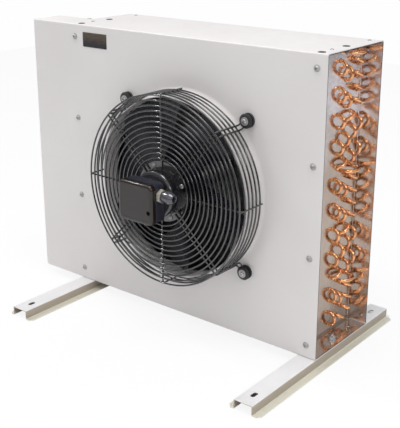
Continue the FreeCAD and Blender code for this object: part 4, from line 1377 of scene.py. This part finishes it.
def cableGland():
    s = glandSettings
    nutLow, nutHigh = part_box("gland_nut")
    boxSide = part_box("terminal_box_base")[1].x
    y, z = middle("gland_nut")[1:]
    sideways = Matrix.Rotation(-math.pi / 2, 4, "Z")
    hexagon = hexPiece("glandHex", s["hex"], nutLow.x - boxSide, s["bore"], "grey_plastic")
    placed(hexagon, Matrix.Translation((boxSide, y, z)) @ sideways)
    keep(hexagon, fixed, "grey_plastic", "cable_gland")
    length, r, bore = nutHigh.x - nutLow.x, (nutHigh.z - nutLow.z) / 2, s["bore"]
    collar = r * s["collar"]
    profile = [(bore, 0), (collar, 0), (collar, 0.0022), (r, 0.003), (r, length * 0.62)]
    profile += [(r - 0.0008, length * 0.72), (r - 0.0035, length - 0.0015), (bore + 0.0025, length)]
    profile += [(bore, length - 0.001)]
    ribs = (s["ribs"], s["ribDepth"], s["ribStart"], length * s["ribEnd"])
    nut = turnedMesh("glandNut", profile, "dark_gland", 96, loop=True, ribs=ribs, soft=s["soft"])
    placed(nut, Matrix.Translation((nutLow.x, y, z)) @ sideways)
    keep(nut, fixed, "grey_plastic", "gland_nut")


def nameplate():
    low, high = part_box("nameplate_blank")
    size = (high.x - low.x, high.z - low.z)
    profile = [(high.y, 0), (low.y + 0.0002, 0), (low.y, 0.0002)]
    centre = middle("nameplate_blank")[::2]
    piece = slab("nameplateBlank", centre, size, 0.0012, profile, "plate_dark", 4)
    keep(piece, fixed, "plate_dark", "nameplate_blank")


terminalBox()
cableGland()
nameplate()
print("terminal box done")


# The CAD nodes that still show keep their shape and get their finish

slotOf = {row["node"]: row["material_slot"] for row in frame["record"]["subparts"]}
dressed = 0
for node, piece in frame["nodes"].items():
    if piece.hide_render:
        continue
    piece.data.materials.clear()
    piece.data.materials.append(finishes[slotOf[node]])
    dressed += 1
print("CAD nodes dressed,", dressed)


# Floor, light and camera

stageSettings = {
    "floor": 6.0, "floorColour": rgb(0.90, 0.90, 0.90), "own": 0.88, "low": 0.24, "high": 0.80,
    "horizon": 0.0, "zenith": 0.75,
}
# place, aim, size and power
lampSettings = {
    "topLamp": ((0.3, -0.45, 2.6), (0, 0, 0.3), 1.1, 22.0),
    "frontLamp": ((0.6, -2.6, 1.3), (0, 0, 0.3), 1.4, 2.0),
    "sideLamp": ((2.3, -1.0, 1.6), (0.3, 0, 0.3), 0.6, 9.0),
    "leftLamp": ((-1.7, -0.65, 2.3), (0, 0, 0.3), 0.22, 10.0),
}
cameraSettings = {
    "place": (1.1179, -1.3221, 0.8408), "azimuth": 38.844, "elevation": 17.718, "focal": 883.6,
    "frame": (400, 428), "axisAbove": 32,
}


def floorFinish():
    # white to the eye where lit, and darker where the object shades it; the strips that the
    # rails cover have no glow of their own, and where they run on past the rails' rear ends they are
    # painted shade
    s = stageSettings
    f = Finish("paleFloor")
    fleck = f.between(f.noise(3.0, 2), 0.3, 0.7)
    tint = f.mixed(fleck, s["floorColour"], rgb(0.92, 0.92, 0.92))
    plain = f.node("ShaderNodeBsdfDiffuse", None, {"Color": tint})
    glow = f.node("ShaderNodeEmission", None, {"Color": rgb(1, 1, 1), "Strength": 1.0})
    seen = f.node("ShaderNodeLightPath", out="Is Camera Ray")
    x, y, bare = f.along("X"), f.along("Y"), 1.0
    for node in railNodes:
        low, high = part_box(node)
        away = abs(x - middle(node)[0])
        coveredAndPaintedShadeStrip = f.between(away, 0.025, 0.022) * f.between(y, low.y + 0.034, low.y + 0.038)
        # painted shade: the strip runs on 10 to 14 mm past each rail's rear end
        bare = bare - coveredAndPaintedShadeStrip * f.between(y, high.y + 0.014, high.y + 0.010)
    mix = f.node("ShaderNodeMixShader", None, {0: seen * bare * s["own"], 1: plain, 2: glow})
    f.node("ShaderNodeOutputMaterial", None, {"Surface": mix})
    return f.material


def floorPlane():
    half = stageSettings["floor"] / 2
    mesh = bpy.data.meshes.new("floor")
    corners = [(-half, -half, 0), (half, -half, 0), (half, half, 0), (-half, half, 0)]
    mesh.from_pydata(corners, [], [(0, 1, 2, 3)])
    floor = newObject("floor", mesh)
    mesh.materials.append(floorFinish())


def skyLight():
    s = stageSettings
    world = bpy.data.worlds.new("studio")
    world.use_nodes = True
    scene.world = world
    g = Graph(world.node_tree)
    g.tree.nodes.clear()
    seen = g.node("ShaderNodeLightPath", out="Is Camera Ray")
    way = g.node("ShaderNodeTexCoord", out="Generated")
    height = g.node("ShaderNodeSeparateXYZ", None, {0: way}, "Z")
    values = {"Value": height, 1: s["horizon"], 2: s["zenith"], 3: s["low"], 4: s["high"]}
    glow = g.node("ShaderNodeMapRange", {"interpolation_type": "SMOOTHSTEP"}, values)
    soft = g.node("ShaderNodeBackground", None, {"Color": rgb(0.97, 0.98, 1.0), "Strength": glow})
    pale = rgb(0.99, 0.99, 0.99)
    white = g.node("ShaderNodeBackground", None, {"Color": pale, "Strength": 1.0})
    mix = g.node("ShaderNodeMixShader", None, {0: seen, 1: soft, 2: white})
    g.node("ShaderNodeOutputWorld", None, {"Surface": mix})


def lamp(name, place, aim, size, power):
    light = bpy.data.lights.new(name, "AREA")
    light.shape, light.size, light.energy = "DISK", size, power
    holder = bpy.data.objects.new(name, light)
    scene.collection.objects.link(holder)
    holder.location = place
    holder.rotation_euler = (Vector(aim) - Vector(place)).to_track_quat("-Z", "Y").to_euler()


def photoCamera():
    s = cameraSettings
    camera = bpy.data.cameras.new("camera")
    holder = bpy.data.objects.new("camera", camera)
    scene.collection.objects.link(holder)
    a, e = math.radians(s["azimuth"]), math.radians(s["elevation"])
    look = Vector((-math.sin(a) * math.cos(e), math.cos(a) * math.cos(e), -math.sin(e)))
    holder.location = s["place"]
    holder.rotation_euler = look.to_track_quat("-Z", "Y").to_euler()
    camera.sensor_width = 36.0
    camera.lens = s["focal"] / max(s["frame"]) * camera.sensor_width
    camera.shift_y = -s["axisAbove"] / max(s["frame"])
    scene.camera = holder


floorPlane()
skyLight()
for lampName, values in lampSettings.items():
    lamp(lampName, *values)
photoCamera()
scene.view_settings.view_transform = "Standard"
print("stage set")
